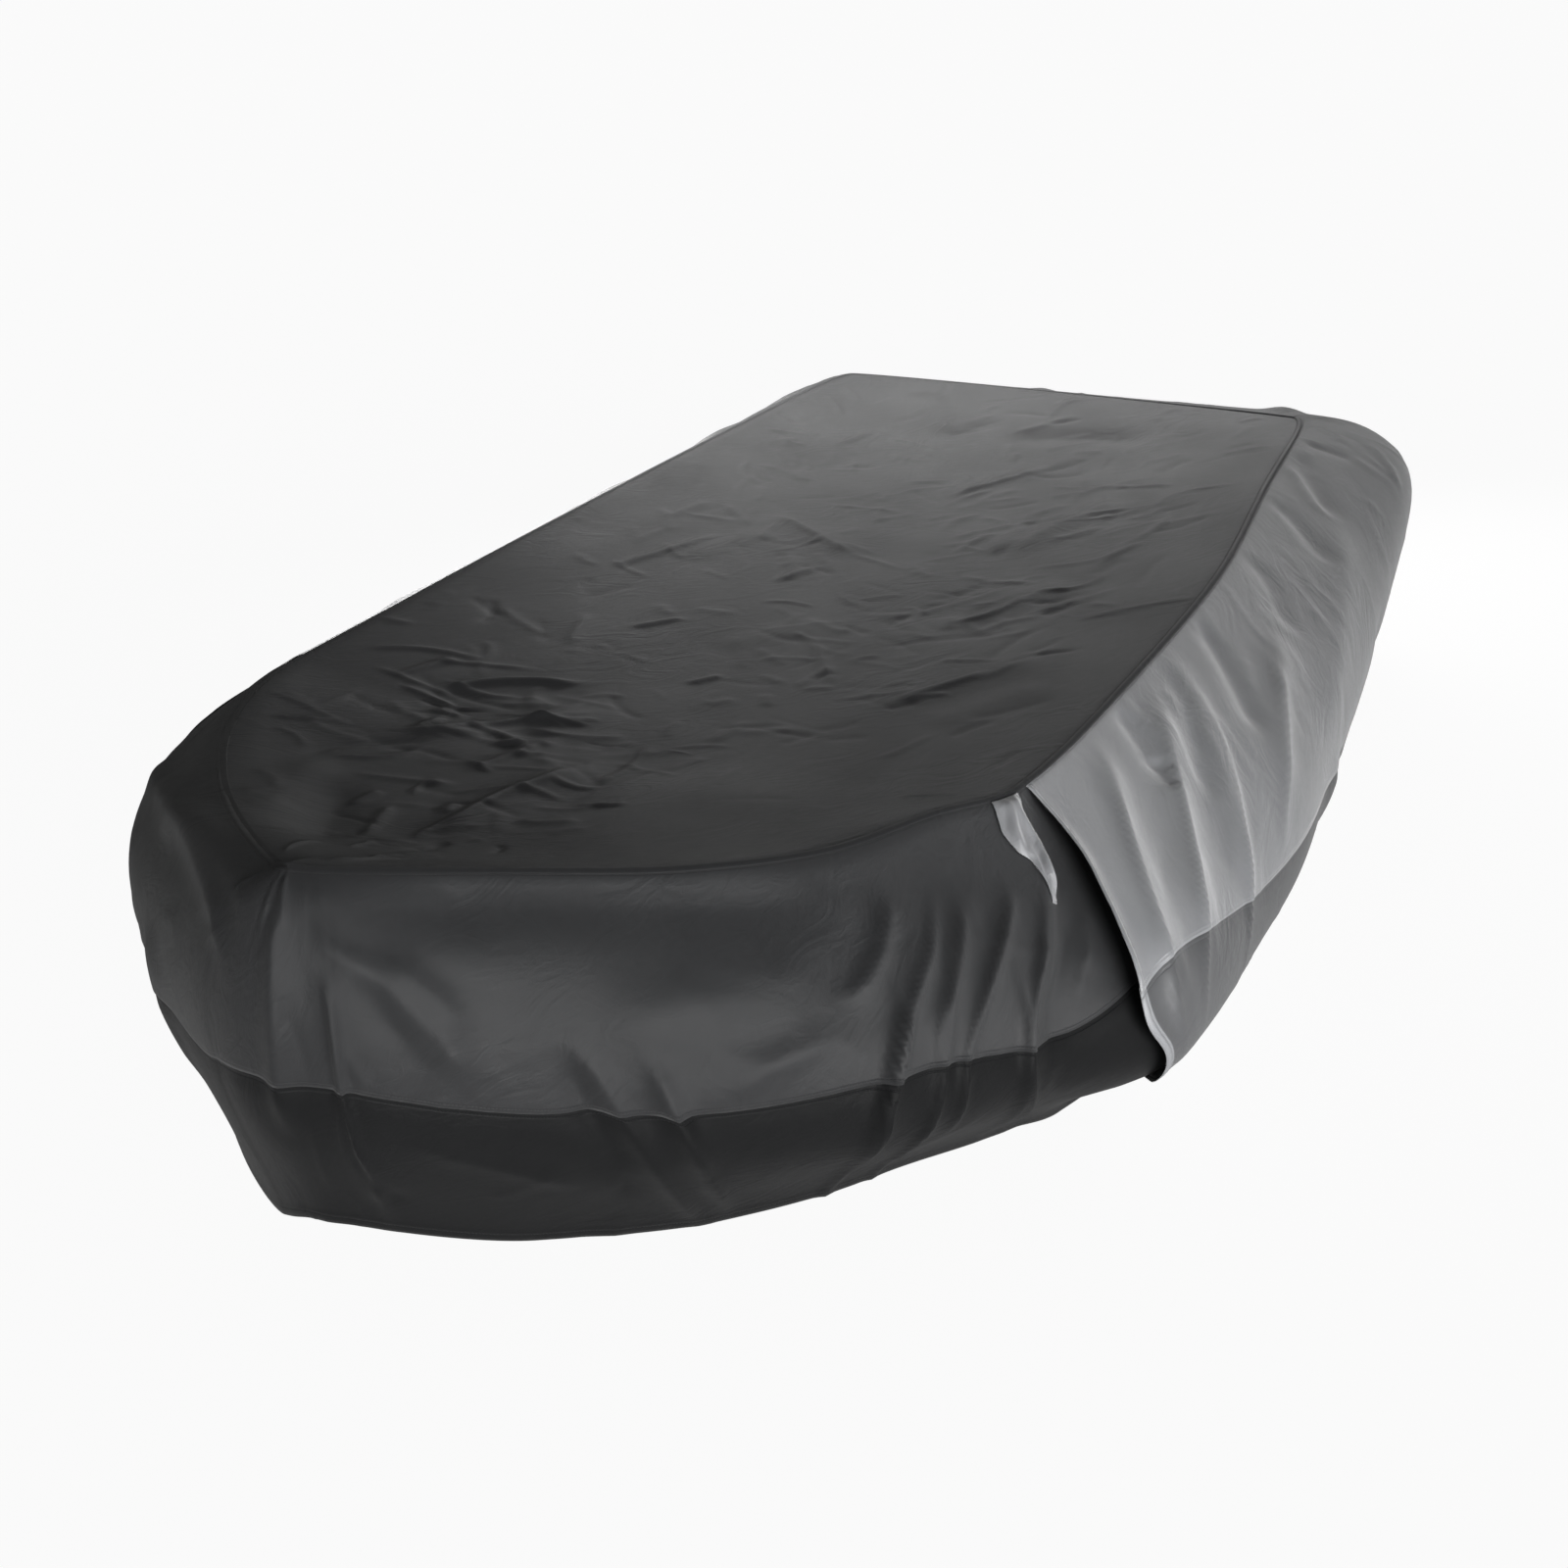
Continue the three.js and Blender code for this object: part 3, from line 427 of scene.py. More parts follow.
class SideShape:
    """The smooth side surface round the whole cover, sampled on a fine grid of place and share of the drop."""

    PLACE_STEP = 4.0
    SHARES = 160
    SAMPLES = 161
    HANDLE = 0.38
    HEM_LEAN = 0.3

    def __init__(self):
        mirrored = [dict(row, y=-row["y"], heading=360 - row["heading"]) for row in STARBOARD]
        loop = TIP + PORT + STERN + mirrored[::-1]
        angle = np.radians([row["heading"] for row in loop])
        out = np.stack([np.cos(angle), np.sin(angle)], 1)
        rim = np.array([(row["x"], row["y"]) for row in loop], float)
        reach = rim + BULGE_REACH * out
        gaps = np.linalg.norm(np.roll(reach, -1, 0) - reach, axis=1)
        places = np.concatenate([[0], np.cumsum(gaps)])
        self.round = places[-1]
        places = places[:-1]
        self.shoulder = places[1 + SHOULDER_ROW]
        self.corner = places[1 + CORNER_ROW]
        self.shoulder_starboard = places[len(loop) - 1 - SHOULDER_ROW] - self.round
        self.corner_starboard = places[len(loop) - 1 - CORNER_ROW] - self.round
        turns = (-1, 0, 1)
        all_places = np.concatenate([places + turn * self.round for turn in turns])
        self.curves = {}
        for name in SECTION.split():
            full_turn = 360 if name == "heading" else 0
            values = np.concatenate([[row[name] + turn * full_turn for row in loop] for turn in turns])
            self.curves[name] = smooth_curve(all_places, values)
        self.count = int(round(self.round / self.PLACE_STEP))
        self.step = self.round / self.count
        q = np.arange(self.count) * self.step
        self.points, self.drops = self.sections(q)
        self.faces = self.normals()

    def at(self, name, q):
        return self.curves[name](q)

    def sections(self, q):
        """The section at each place, sampled evenly along the cloth: its points, and its length."""
        v = {name: curve(q) for name, curve in self.curves.items()}
        start = np.radians(v["start"])
        upper = np.hypot(v["bulge"], v["z"] - v["bulge_z"])
        lower = np.hypot(v["bulge"] - v["hem"], v["bulge_z"] - v["hem_z"])
        h = self.HANDLE
        zero = np.zeros_like(q)
        top = np.array([
            np.stack([zero, v["z"]], 1),
            np.stack([h * upper * np.cos(start), v["z"] - h * upper * np.sin(start)], 1),
            np.stack([v["bulge"], v["bulge_z"] + h * upper], 1),
            np.stack([v["bulge"], v["bulge_z"]], 1),
        ])
        lean = v["hem"] + self.HEM_LEAN * (v["bulge"] - v["hem"])
        bottom = np.array([
            np.stack([v["bulge"], v["bulge_z"]], 1),
            np.stack([v["bulge"], v["bulge_z"] - h * lower], 1),
            np.stack([lean, v["hem_z"] + h * (v["bulge_z"] - v["hem_z"])], 1),
            np.stack([v["hem"], v["hem_z"]], 1),
        ])
        fine = np.linspace(0, 2, self.SAMPLES)
        t_top = np.broadcast_to(np.clip(fine, 0, 1), (len(q), len(fine)))
        t_low = np.broadcast_to(np.clip(fine - 1, 0, 1), (len(q), len(fine)))
        line = np.where((fine <= 1)[None, :, None], bezier(top, t_top), bezier(bottom, t_low))
        gaps = np.linalg.norm(np.diff(line, axis=1), axis=2)
        lengths = np.concatenate([np.zeros((len(q), 1)), np.cumsum(gaps, 1)], 1)
        drops = lengths[:, -1]
        shares = np.linspace(0, 1, self.SHARES + 1)
        where = np.stack([np.interp(shares * drop, row, fine) for row, drop in zip(lengths, drops)])
        even_top = bezier(top, np.clip(where, 0, 1))
        even_low = bezier(bottom, np.clip(where - 1, 0, 1))
        even = np.where((where <= 1)[..., None], even_top, even_low)
        angle = np.radians(v["heading"])[:, None]
        x = v["x"][:, None] + np.cos(angle) * even[..., 0]
        y = v["y"][:, None] + np.sin(angle) * even[..., 0]
        return np.stack([x, y, even[..., 1]], 2), drops

    def normals(self):
        reach = int(round(PUSH_REACH / self.step))
        along_q = np.roll(self.points, -reach, 0) - np.roll(self.points, reach, 0)
        padded = np.pad(self.points, ((0, 0), (reach, reach), (0, 0)), mode="edge")
        along_s = padded[:, 2 * reach:] - padded[:, :-2 * reach]
        return unit(np.cross(along_s, along_q))

    def sample(self, grid, q, share):
        """Smoothly interpolated values of a grid over place and share."""
        x = np.asarray(q, float) / self.step
        y = np.clip(share, 0, 1) * self.SHARES
        i = np.floor(x).astype(int)
        j = np.minimum(np.floor(y).astype(int), self.SHARES - 1)
        fx, fy = x - i, y - j

        def weights(f):
            """The four weights of a Catmull-Rom curve."""
            return (
                -0.5 * f + f**2 - 0.5 * f**3,
                1 - 2.5 * f**2 + 1.5 * f**3,
                0.5 * f + 2 * f**2 - 1.5 * f**3,
                -0.5 * f**2 + 0.5 * f**3,
            )

        total = 0
        for a, wx in enumerate(weights(fx)):
            column = (i + a - 1) % self.count
            for b, wy in enumerate(weights(fy)):
                row = np.clip(j + b - 1, 0, self.SHARES)
                total = total + (wx * wy)[..., None] * grid[column, row]
        return total

    def drop(self, q):
        x = np.asarray(q, float) / self.step
        i = np.floor(x).astype(int)
        f = x - i
        return self.drops[i % self.count] * (1 - f) + self.drops[(i + 1) % self.count] * f

    def wrapped(self, distance):
        return distance - self.round * np.round(distance / self.round)

    def scaled_down(self, q, s):
        """Length down, scaled so that the band's seam is at SKIRT_DOWN and the hem at HEM_DOWN."""
        drop, band = self.drop(q), self.at("band", q)
        skirt = drop - band
        low = SKIRT_DOWN + (s - skirt) / band * (HEM_DOWN - SKIRT_DOWN)
        return np.where(s < skirt, s / skirt * SKIRT_DOWN, low)

    def length_down(self, q, down):
        drop, band = self.drop(q), self.at("band", q)
        skirt = drop - band
        low = skirt + (down - SKIRT_DOWN) / (HEM_DOWN - SKIRT_DOWN) * band
        return np.where(down < SKIRT_DOWN, down / SKIRT_DOWN * skirt, low)

    def rim(self, q):
        return np.stack([self.at("x", q), self.at("y", q), self.at("z", q)], -1)

    def rim_out(self, q):
        angle = np.radians(self.at("heading", q))
        return np.stack([np.cos(angle), np.sin(angle), np.zeros_like(angle)], -1)


SIDE = SideShape()
PLEAT_CURVES = {
    name: smooth_curve([row["down"] for row in PLEAT], [row[name] for row in PLEAT])
    for name in ("edge", "ridge", "end", "depth")
}


# A drawn-up crest: how steeply it falls away, how blunt it is, and what brings its top to about 1.
CREST = {"fall": 1.6, "blunt": 0.06, "offset": 0.245}


def crest(across, sharp):
    """A fold's shape across it: round where sharp is 0, and a drawn-up crest towards 1."""
    soft = np.exp(-across**2)
    drawn = np.exp(-CREST["fall"] * (np.sqrt(across**2 + CREST["blunt"]) - CREST["offset"]))
    return soft * (1 - sharp) + drawn * soft**0.5 * sharp


def eased_path(path):
    """A path with its corners cut, twice over."""
    path = np.array(path, float)
    for _ in range(2):
        cuts = np.stack([path[:-1] * 0.75 + path[1:] * 0.25, path[:-1] * 0.25 + path[1:] * 0.75], 1)
        path = np.concatenate([path[:1], cuts.reshape(-1, 2), path[-1:]])
    return path


def fold_field(first, second, folds, sharp, wrap=lambda distance: distance):
    """The height of a set of folds at each point. wrap shortens a distance along the first axis."""
    height = np.zeros(np.broadcast(first, second).shape)
    for fold in folds:
        path = eased_path(fold["path"])
        along_first = path[0, 0] + wrap(first - path[0, 0])
        reach = FOLD_REACH * fold["width"]
        low, high = path.min(0) - reach, path.max(0) + reach
        near = (along_first > low[0]) & (along_first < high[0]) & (second > low[1]) & (second < high[1])
        if not near.any():
            continue
        place = np.stack([along_first[near], second[near]], -1)
        nearest, share, passed = np.full(len(place), np.inf), np.zeros(len(place)), 0.0
        for start, run in zip(path[:-1], np.diff(path, axis=0)):
            length = np.linalg.norm(run)
            away = place - start
            t = np.clip(away @ run / length**2, 0, 1)
            off = np.linalg.norm(away - t[:, None] * run, axis=1)
            share = np.where(off < nearest, passed + t * length, share)
            nearest = np.minimum(nearest, off)
            passed += length
        share = share / passed
        ends = smooth_step(0, FOLD_FADE, share) * (1 - smooth_step(1 - FOLD_FADE, 1, share))
        height[near] += fold["height"] * ends * crest(nearest / fold["width"], sharp)
    return height


# How much the strewn creases vary in length, width, height, bend and sign.
STREWN = {"length": (0.5, 1.5), "width": (0.6, 1.4), "height": (0.4, 1.3), "bend": 0.1, "signs": (1, 1, -0.8)}


def strewn(groups, first, second, seed):
    """Fine bent creases strewn round the middle of each group, the same on every run."""
    rng = np.random.default_rng(seed)
    made = []
    for group in groups:
        for _ in range(group["count"]):
            a = group[first] + rng.normal() * group["spread_" + first]
            b = group[second] + rng.normal() * group["spread_" + second]
            heading = math.radians(group["heading"] + rng.normal() * group["turn"])
            length = group["length"] * rng.uniform(*STREWN["length"])
            half = np.array([math.cos(heading), math.sin(heading)]) * length / 2
            bend = np.array([-math.sin(heading), math.cos(heading)]) * length * rng.normal() * STREWN["bend"]
            middle = np.array([a, b])
            made.append({
                "path": (middle - half, middle + bend, middle + half),
                "width": group["width"] * rng.uniform(*STREWN["width"]),
                "height": group["height"] * rng.uniform(*STREWN["height"]) * rng.choice(STREWN["signs"]),
            })
    return made


SIDE_CREASES = CREASES + strewn(STREWN_SIDE, "q", "s", SEEDS["side"])
EASE_PLACES = [row["q"] for row in RIM_EASE]
EASE_WIDTHS = [row["width"] for row in RIM_EASE]
WELT_SHARES = [row["welt"] for row in RIM_EASE]


def rim_ease(q, away):
    """How the corner between the top and the side is rounded off, at a distance away from the rim."""
    width = np.interp(q, EASE_PLACES, EASE_WIDTHS, period=SIDE.round)
    start = np.radians(SIDE.at("start", q))
    turn = (start + math.radians(TOP_LEAN)) / 2
    depth = np.tan(turn) * np.maximum(width - away, 0) ** 2 / (2 * width)
    out = SIDE.rim_out(q) * np.sin(start)[..., None]
    way = unit(out + np.array([0, 0, 1.0]) * (1 + np.cos(start))[..., None])
    return -way * depth[..., None]


def side_heights(q, s, sizes):
    main = fold_field(q, s, MAIN_FOLDS, SHARPNESS["side"], SIDE.wrapped)
    fine = fold_field(q, s, SIDE_CREASES, SHARPNESS["crease"], SIDE.wrapped)
    return (main + fine * sizes.crease_height) * smooth_step(0, RIM_FADE, s)


def folded_side(q, s, sizes):
    """The side cloth with its folds, and the way that they push it."""
    share = s / SIDE.drop(q)
    normal = SIDE.sample(SIDE.faces, q, share)
    up = normal.copy()
    up[..., 2] = np.maximum(up[..., 2], 0)
    point = SIDE.sample(SIDE.points, q, share)
    point = point + unit(up) * side_heights(q, s, sizes)[..., None] + rim_ease(q, s)
    return point - unit(normal) * port_draw(q, s)[..., None], unit(normal)


def port_draw(q, s):
    """How far the low cloth of the port side is drawn in."""
    off = (aft_of_shoulder(q) - PORT_DRAW["aft"]) / PORT_DRAW["width"]
    along = np.exp(-off**2) * (SIDE.wrapped(q) > 0)
    return PORT_DRAW["depth"] * along * smooth_step(PORT_DRAW["from"], PORT_DRAW["full"], SIDE.scaled_down(q, s))


def down_side(q, s):
    share = s / SIDE.drop(q)
    back = np.maximum(s - PUSH_REACH, 0) / SIDE.drop(q)
    return unit(SIDE.sample(SIDE.points, q, share) - SIDE.sample(SIDE.points, q, back))


def aft_of_shoulder(q):
    place = SIDE.wrapped(q)
    return np.where(place > 0, place - SIDE.shoulder, SIDE.shoulder_starboard - place)


def bow_cloth(q, s, sizes):
    """The bow's cloth: it turns in past its last ridge on each side and runs on behind the side skirt."""
    aft = aft_of_shoulder(q)
    down = SIDE.scaled_down(q, s)
    ridge, depth = (PLEAT_CURVES[name](down) for name in ("ridge", "depth"))
    turned = smooth_step(ridge, ridge + TUCK_BEND, aft)
    point, push = folded_side(q, s, sizes)
    shown = smooth_step(ridge, ridge + TUCK_HANG["reach"], aft) * (1 - smooth_step(*TUCK_SHOWN, aft))
    hang = TUCK_HANG["near"] * shown + TUCK_HANG["far"] * smooth_step(ridge, 0, aft)
    hang = hang - TUCK_HANG["rise"] * smooth_step(*TUCK_HIDDEN, aft)
    hang = np.minimum(hang, np.maximum(point[..., 2] - FLOOR_ROOM, 0)) * smooth_step(SKIRT_DOWN, HEM_DOWN, down)
    return point - push * (depth * turned)[..., None] + down_side(q, s) * hang[..., None]


def side_cloth(q, s, sizes):
    """The side skirt's cloth: its front edge is rolled and its front corner is drawn up."""
    aft = aft_of_shoulder(q)
    down = SIDE.scaled_down(q, s)
    behind = aft - PLEAT_CURVES["edge"](down)
    strength = np.where(SIDE.wrapped(q) > 0, 1.0, STARBOARD_ROLL)
    roll = ROLL["height"] * np.exp(-((behind / ROLL["width"]) ** 2)) * smooth_step(0, ROLL["full"], down)
    low = smooth_step(FLARE["from"], FLARE["full"], down) * (1 - smooth_step(FLARE["fade"], HEM_DOWN, down))
    flare = FLARE["height"] * np.exp(-((behind / FLARE["width"]) ** 2)) * low
    corner = sum(lift["height"] * np.exp(-((behind / lift["width"]) ** 2)) for lift in CORNER_LIFTS)
    point, push = folded_side(q, s - corner * smooth_step(SKIRT_DOWN, HEM_DOWN, down), sizes)
    return point + push * (strength * (roll + flare))[..., None]


def stern_cloth(q, s, sizes):
    return folded_side(q, s, sizes)[0]


def steps(low, high, step):
    return np.linspace(low, high, max(int(math.ceil(abs(high - low) / step)), 2) + 1)


def bow_places(down, step):
    """Places along the loop, from the starboard tuck's end to the port one, for each row of cloth."""
    down = down[None, :]
    ridge, end = PLEAT_CURVES["ridge"](down), PLEAT_CURVES["end"](down)
    halves = []
    for shoulder, sign in ((SIDE.shoulder_starboard, -1), (SIDE.shoulder, 1)):
        start = shoulder - sign * RIDGE_START
        plain = steps(0, 1, step / abs(start))[:, None] * start + 0 * down
        to_ridge = steps(0, 1, step / RIDGE_LENGTH)[1:, None]
        tuck = steps(0, 1, step * TUCK_FINER / TUCK_LENGTH)[1:, None]
        lean = start + sign * to_ridge * (RIDGE_START + ridge)
        behind = shoulder + sign * (ridge + tuck * (end - ridge))
        halves.append(np.concatenate([plain, lean, behind]))
    return np.concatenate([halves[0][:0:-1], halves[1]])


def side_places(down, step, shoulder, corner, sign):
    length = sign * (corner - shoulder)
    aft = steps(0, length, step)[:, None]
    ease = np.maximum(1 - aft / LEAN_EASE, 0)
    return shoulder + sign * (aft + ease * PLEAT_CURVES["edge"](down[None, :]))


def stern_places(down, step):
    end = SIDE.corner_starboard + SIDE.round
    return steps(SIDE.corner, end, step)[:, None] + 0 * down[None, :]


def piece_places(name, down, step):
    if name == "bow":
        return bow_places(down, step)
    if name == "port":
        return side_places(down, step, SIDE.shoulder, SIDE.corner, 1)
    if name == "starboard":
        return side_places(down, step, SIDE.shoulder_starboard, SIDE.corner_starboard, -1)[::-1]
    return stern_places(down, step)


CLOTHS = {"bow": bow_cloth, "port": side_cloth, "starboard": side_cloth, "stern": stern_cloth}


def top_heights(x, y, sizes):
    creases = TOP_CREASES + strewn(STREWN_TOP, "x", "y", SEEDS["top"])
    fine = fold_field(x, y, creases, SHARPNESS["crease"])
    return fold_field(x, y, TOP_FOLDS, SHARPNESS["top"]) + fine * sizes.crease_height


def ease_top(point, inside, edge_places):
    """Round the top off towards the rim.

    edge_places: the rim's place at each point of the top's edge, or nan.
    """
    places = np.arange(0, SIDE.round, EASE_SPACING)
    tree = KDTree(len(places))
    for number, (x, y, _) in enumerate(SIDE.rim(places)):
        tree.insert((x, y, 0), number)
    tree.balance()
    near = inside < max(EASE_WIDTHS) * EASE_REACH
    found = [tree.find((x, y, 0))[1:] for x, y, _ in point[near]]
    edge = ~np.isnan(edge_places[near])
    q = np.where(edge, np.nan_to_num(edge_places[near]), places[[number for number, _ in found]])
    away = np.where(edge, 0, [distance for _, distance in found])
    point[near] += rim_ease(q, away)


def top_grid(step, sizes):
    """The top's points, in rows from the bow tip to the stern and from starboard to port."""
    down = np.zeros(1)
    port_bow = bow_places(down, step)[:, 0]
    middle = int(np.argmin(np.abs(port_bow)))
    port = np.concatenate([port_bow[middle:], side_places(down, step, SIDE.shoulder, SIDE.corner, 1)[1:, 0]])
    starboard = facing_place(port)
    across = steps(0, 1, step / TOP_WIDTH)
    sides = np.stack([SIDE.rim(starboard), SIDE.rim(port)])
    stern = SIDE.corner + (1 - across) * (SIDE.corner_starboard + SIDE.round - SIDE.corner)
    point = sides[0][:, None] * (1 - across)[None, :, None] + sides[1][:, None] * across[None, :, None]
    width = np.linalg.norm(sides[1] - sides[0], axis=1)[:, None]
    to_stern = (sides[1][:, 0] - sides[1][-1, 0])[:, None]
    near_stern = 1 - smooth_step(0, STERN_EASE, to_stern)
    curved = SIDE.rim(stern) - (sides[0][-1] * (1 - across)[:, None] + sides[1][-1] * across[:, None])
    point = point + curved[None] * near_stern[..., None]
    inside = np.minimum(np.minimum(across, 1 - across)[None, :] * width, to_stern)
    spread = 4 * (across * (1 - across))[None, :] * (1 - near_stern) * smooth_step(0, SAG["width"], width)
    edge = (inside <= 1e-6) | (width < 1e-6)
    lower = DIP["depth"] * (1 - np.exp(-inside / DIP["width"])) + SAG["depth"] * spread
    folds = top_heights(point[..., 0], point[..., 1], sizes) * smooth_step(0, RIM_CALM, inside)
    point[..., 2] += np.where(edge, 0, folds - lower)
    edge_places = np.full(inside.shape, np.nan)
    edge_places[:, 0], edge_places[:, -1] = starboard, port
    edge_places[0], edge_places[-1] = 0, stern
    ease_top(point, inside, edge_places)
    return point, inside


def facing_place(port):
    """The starboard place that faces each port place: each stretch of one side answers one of the other."""
    marks_port = [0, SIDE.shoulder - RIDGE_START, SIDE.shoulder, SIDE.corner]
    marks_starboard = [0, SIDE.shoulder_starboard + RIDGE_START, SIDE.shoulder_starboard, SIDE.corner_starboard]
    return np.interp(port, marks_port, marks_starboard)


def to_row(points):
    """Millimetres of the tables to metres of the row."""
    moved = np.array(points, float)
    moved[..., 0] -= MIDDLE[0]
    moved[..., 1] -= MIDDLE[1]
    return moved * MM


def grid_mesh(name, points, uv, extra=None):
    """A sheet from a grid of points, with its places on the cloth in metres and named values at its points."""
    rows, columns = points.shape[:2]
    numbers = np.arange(rows * columns).reshape(rows, columns)
    corners = [numbers[:-1, :-1], numbers[:-1, 1:], numbers[1:, 1:], numbers[1:, :-1]]
    quads = np.stack(corners, -1).reshape(-1, 4)
    mesh = bpy.data.meshes.new(name)
    mesh.from_pydata(points.reshape(-1, 3).tolist(), [], quads.tolist())
    layer = mesh.uv_layers.new(name="cloth")
    layer.data.foreach_set("uv", uv.reshape(-1, 2)[quads.ravel()].astype(np.float32).ravel())
    for key, values in (extra or {}).items():
        mesh.attributes.new(key, "FLOAT", "POINT").data.foreach_set("value", values.astype(np.float32).ravel())
    mesh.polygons.foreach_set("use_smooth", np.ones(len(quads), bool))
    mesh.update()
    piece = bpy.data.objects.new(name, mesh)
    bpy.context.scene.collection.objects.link(piece)
    return piece


def thicken(piece, thickness):
    solid = piece.modifiers.new("thickness", "SOLIDIFY")
    solid.thickness = thickness
    solid.offset = -1
    solid.use_even_offset = False


# The distance to a free edge that a piece of cloth without one is given.
NO_EDGE = 1000.0


def outward(points):
    """The outward normal at each point of a strip of side cloth."""
    return unit(np.cross(np.gradient(points, axis=1), np.gradient(points, axis=0)))


def cloth_strip(name, piece, low, high, sizes):
    """A strip of side cloth between two scaled lengths down."""
    step = sizes.point_step / MM
    height = (high - low) * ROW_SHARE
    is_band = high > SKIRT_DOWN
    if is_band and piece == "bow":
        high -= BOW_HEM_RISE
    down = steps(low, high, step * (high - low) / height)
    q = piece_places(piece, down, step)
    s = SIDE.length_down(q, down[None, :])
    points = CLOTHS[piece](q, s, sizes)
    from_band = s - (SIDE.drop(q) - SIDE.at("band", q))
    from_hem = SIDE.drop(q) - s
    if is_band:
        under = (sizes.thickness / MM + LAP_GAP) * (1 - smooth_step(0, LAP_EASE, from_band))
        turned_up = (HEM["width"] - HEM["soft"], HEM["width"] + HEM["soft"])
        doubled = HEM["height"] * (1 - smooth_step(*turned_up, from_hem))
        points = points + outward(points) * (doubled - under)[..., None]
    behind = aft_of_shoulder(q) - PLEAT_CURVES["edge"](np.broadcast_to(down[None, :], q.shape))
    uv = np.stack([q * MM, s * MM], -1)
    extra = {
        "from_rim": s * MM,
        "from_band": from_band * MM,
        "from_hem": from_hem * MM,
        "from_edge": (behind if piece in ("port", "starboard") else np.full(q.shape, NO_EDGE)) * MM,
    }
    return grid_mesh(name, to_row(points), uv, extra)


# Noises of the cloth's shader, with scales per metre.
MOTTLE = {"scale": 5.0, "detail": 4.0, "roughness": 0.55}
SLUB = {"scale": 90.0, "detail": 2.0}
PATCH = {"scale": 3.1, "detail": 1.0}
# Crumples come in two sizes: how much finer each is, and how far its noise is moved.
CRUMPLES = ((1.0, (0.0, 0.0, 0.0)), (2.9, (7.3, 5.11, 0.0)))
CRUMPLE_NOISE = {"detail": 3.0, "distortion": 1.1}
CRUMPLE_SHARPNESS = 4.0
FINER_SHARE = 0.35
PATCH_RANGE = (0.38, 0.66)
PATCH_SHARES = (0.25, 1.0)
# A sewn line: its groove's width in threads, and how its stitches slant and end.
GROOVE_THREADS = 3.0
STITCH_SLANT = 0.15
STITCH_ENDS = (-0.55, -0.2)
# Tones, as shares of the cloth's colour, and how much of each shows.
# The palest tone colours the crumples' crests.
TONES = {"dark": 0.72, "light": 1.3, "crest_pale": 1.55}
# The groove's share darkens the sewn grooves with painted shade.
SHADES = {"mottle": 0.36, "slub": 0.16, "gap": 0.25, "groove": 0.3}
# The distances from a free edge between which its binding ends, in metres.
BINDING_EDGE = (0.0125, 0.0135)
# Heights in millimetres, and the weave's as a share of its thread.
HEIGHTS = {"weave": 0.16, "groove": 0.5, "stitch": 0.55}
# How the mottle and slub change the roughness.
SLUB_ROUGHNESS = 0.4
ROUGH_RANGE = (0.3, 1.1)
ROUGH_SPREAD = (-0.05, 0.07)
SHEEN_ROUGHNESS = 0.45


def new_group(name, inputs, outputs):
    """A shader node group with named inputs (kind, name, default) and outputs (kind, name)."""
    group = bpy.data.node_groups.new(name, "ShaderNodeTree")
    for kind, label, default in inputs:
        socket = group.interface.new_socket(name=label, in_out="INPUT", socket_type=kind)
        if default is not None:
            socket.default_value = default
    for kind, label in outputs:
        group.interface.new_socket(name=label, in_out="OUTPUT", socket_type=kind)
    source = group.nodes.new("NodeGroupInput")
    target = group.nodes.new("NodeGroupOutput")
    return group, source, target


class Nodes:
    """Short ways to place and join the nodes of one tree."""

    def __init__(self, tree):
        self.tree = tree

    def add(self, kind, inputs=None, **settings):
        node = self.tree.nodes.new(kind)
        for key, value in settings.items():
            setattr(node, key, value)
        for key, value in (inputs or {}).items():
            self.feed(node.inputs[key], value)
        return node

    def feed(self, socket, value):
        if isinstance(value, bpy.types.NodeSocket):
            self.tree.links.new(value, socket)
        else:
            socket.default_value = value

    def math(self, operation, *values, clamp=False):
        node = self.add("ShaderNodeMath", operation=operation, use_clamp=clamp)
        for i, value in enumerate(values):
            self.feed(node.inputs[i], value)
        return node.outputs[0]

    def between(self, value, low, high, to_low=0.0, to_high=1.0):
        """A value eased between two others as it runs from low to high."""
        inputs = {"Value": value, "From Min": low, "From Max": high, "To Min": to_low, "To Max": to_high}
        return self.add("ShaderNodeMapRange", inputs, interpolation_type="SMOOTHSTEP").outputs[0]

    def mix(self, factor, a, b):
        """A mix of two colours."""
        return self.add("ShaderNodeMix", {"Factor": factor, 6: a, 7: b}, data_type="RGBA").outputs[2]

    def vector(self, operation, a, b):
        return self.add("ShaderNodeVectorMath", {0: a, 1: b}, operation=operation)

    def cloth_place(self):
        return self.add("ShaderNodeUVMap", uv_map="cloth").outputs["UV"]

    def cloth_axes(self):
        return self.add("ShaderNodeSeparateXYZ", {"Vector": self.cloth_place()}).outputs

    def noise(self, place, scale, detail, roughness=0.5, distortion=0.0):
        inputs = {
            "Vector": place, "Scale": scale, "Detail": detail, "Roughness": roughness, "Distortion": distortion,
        }
        return self.add("ShaderNodeTexNoise", inputs, noise_dimensions="2D").outputs[0]

    def attribute(self, name):
        return self.add("ShaderNodeAttribute", attribute_name=name, attribute_type="GEOMETRY").outputs["Fac"]


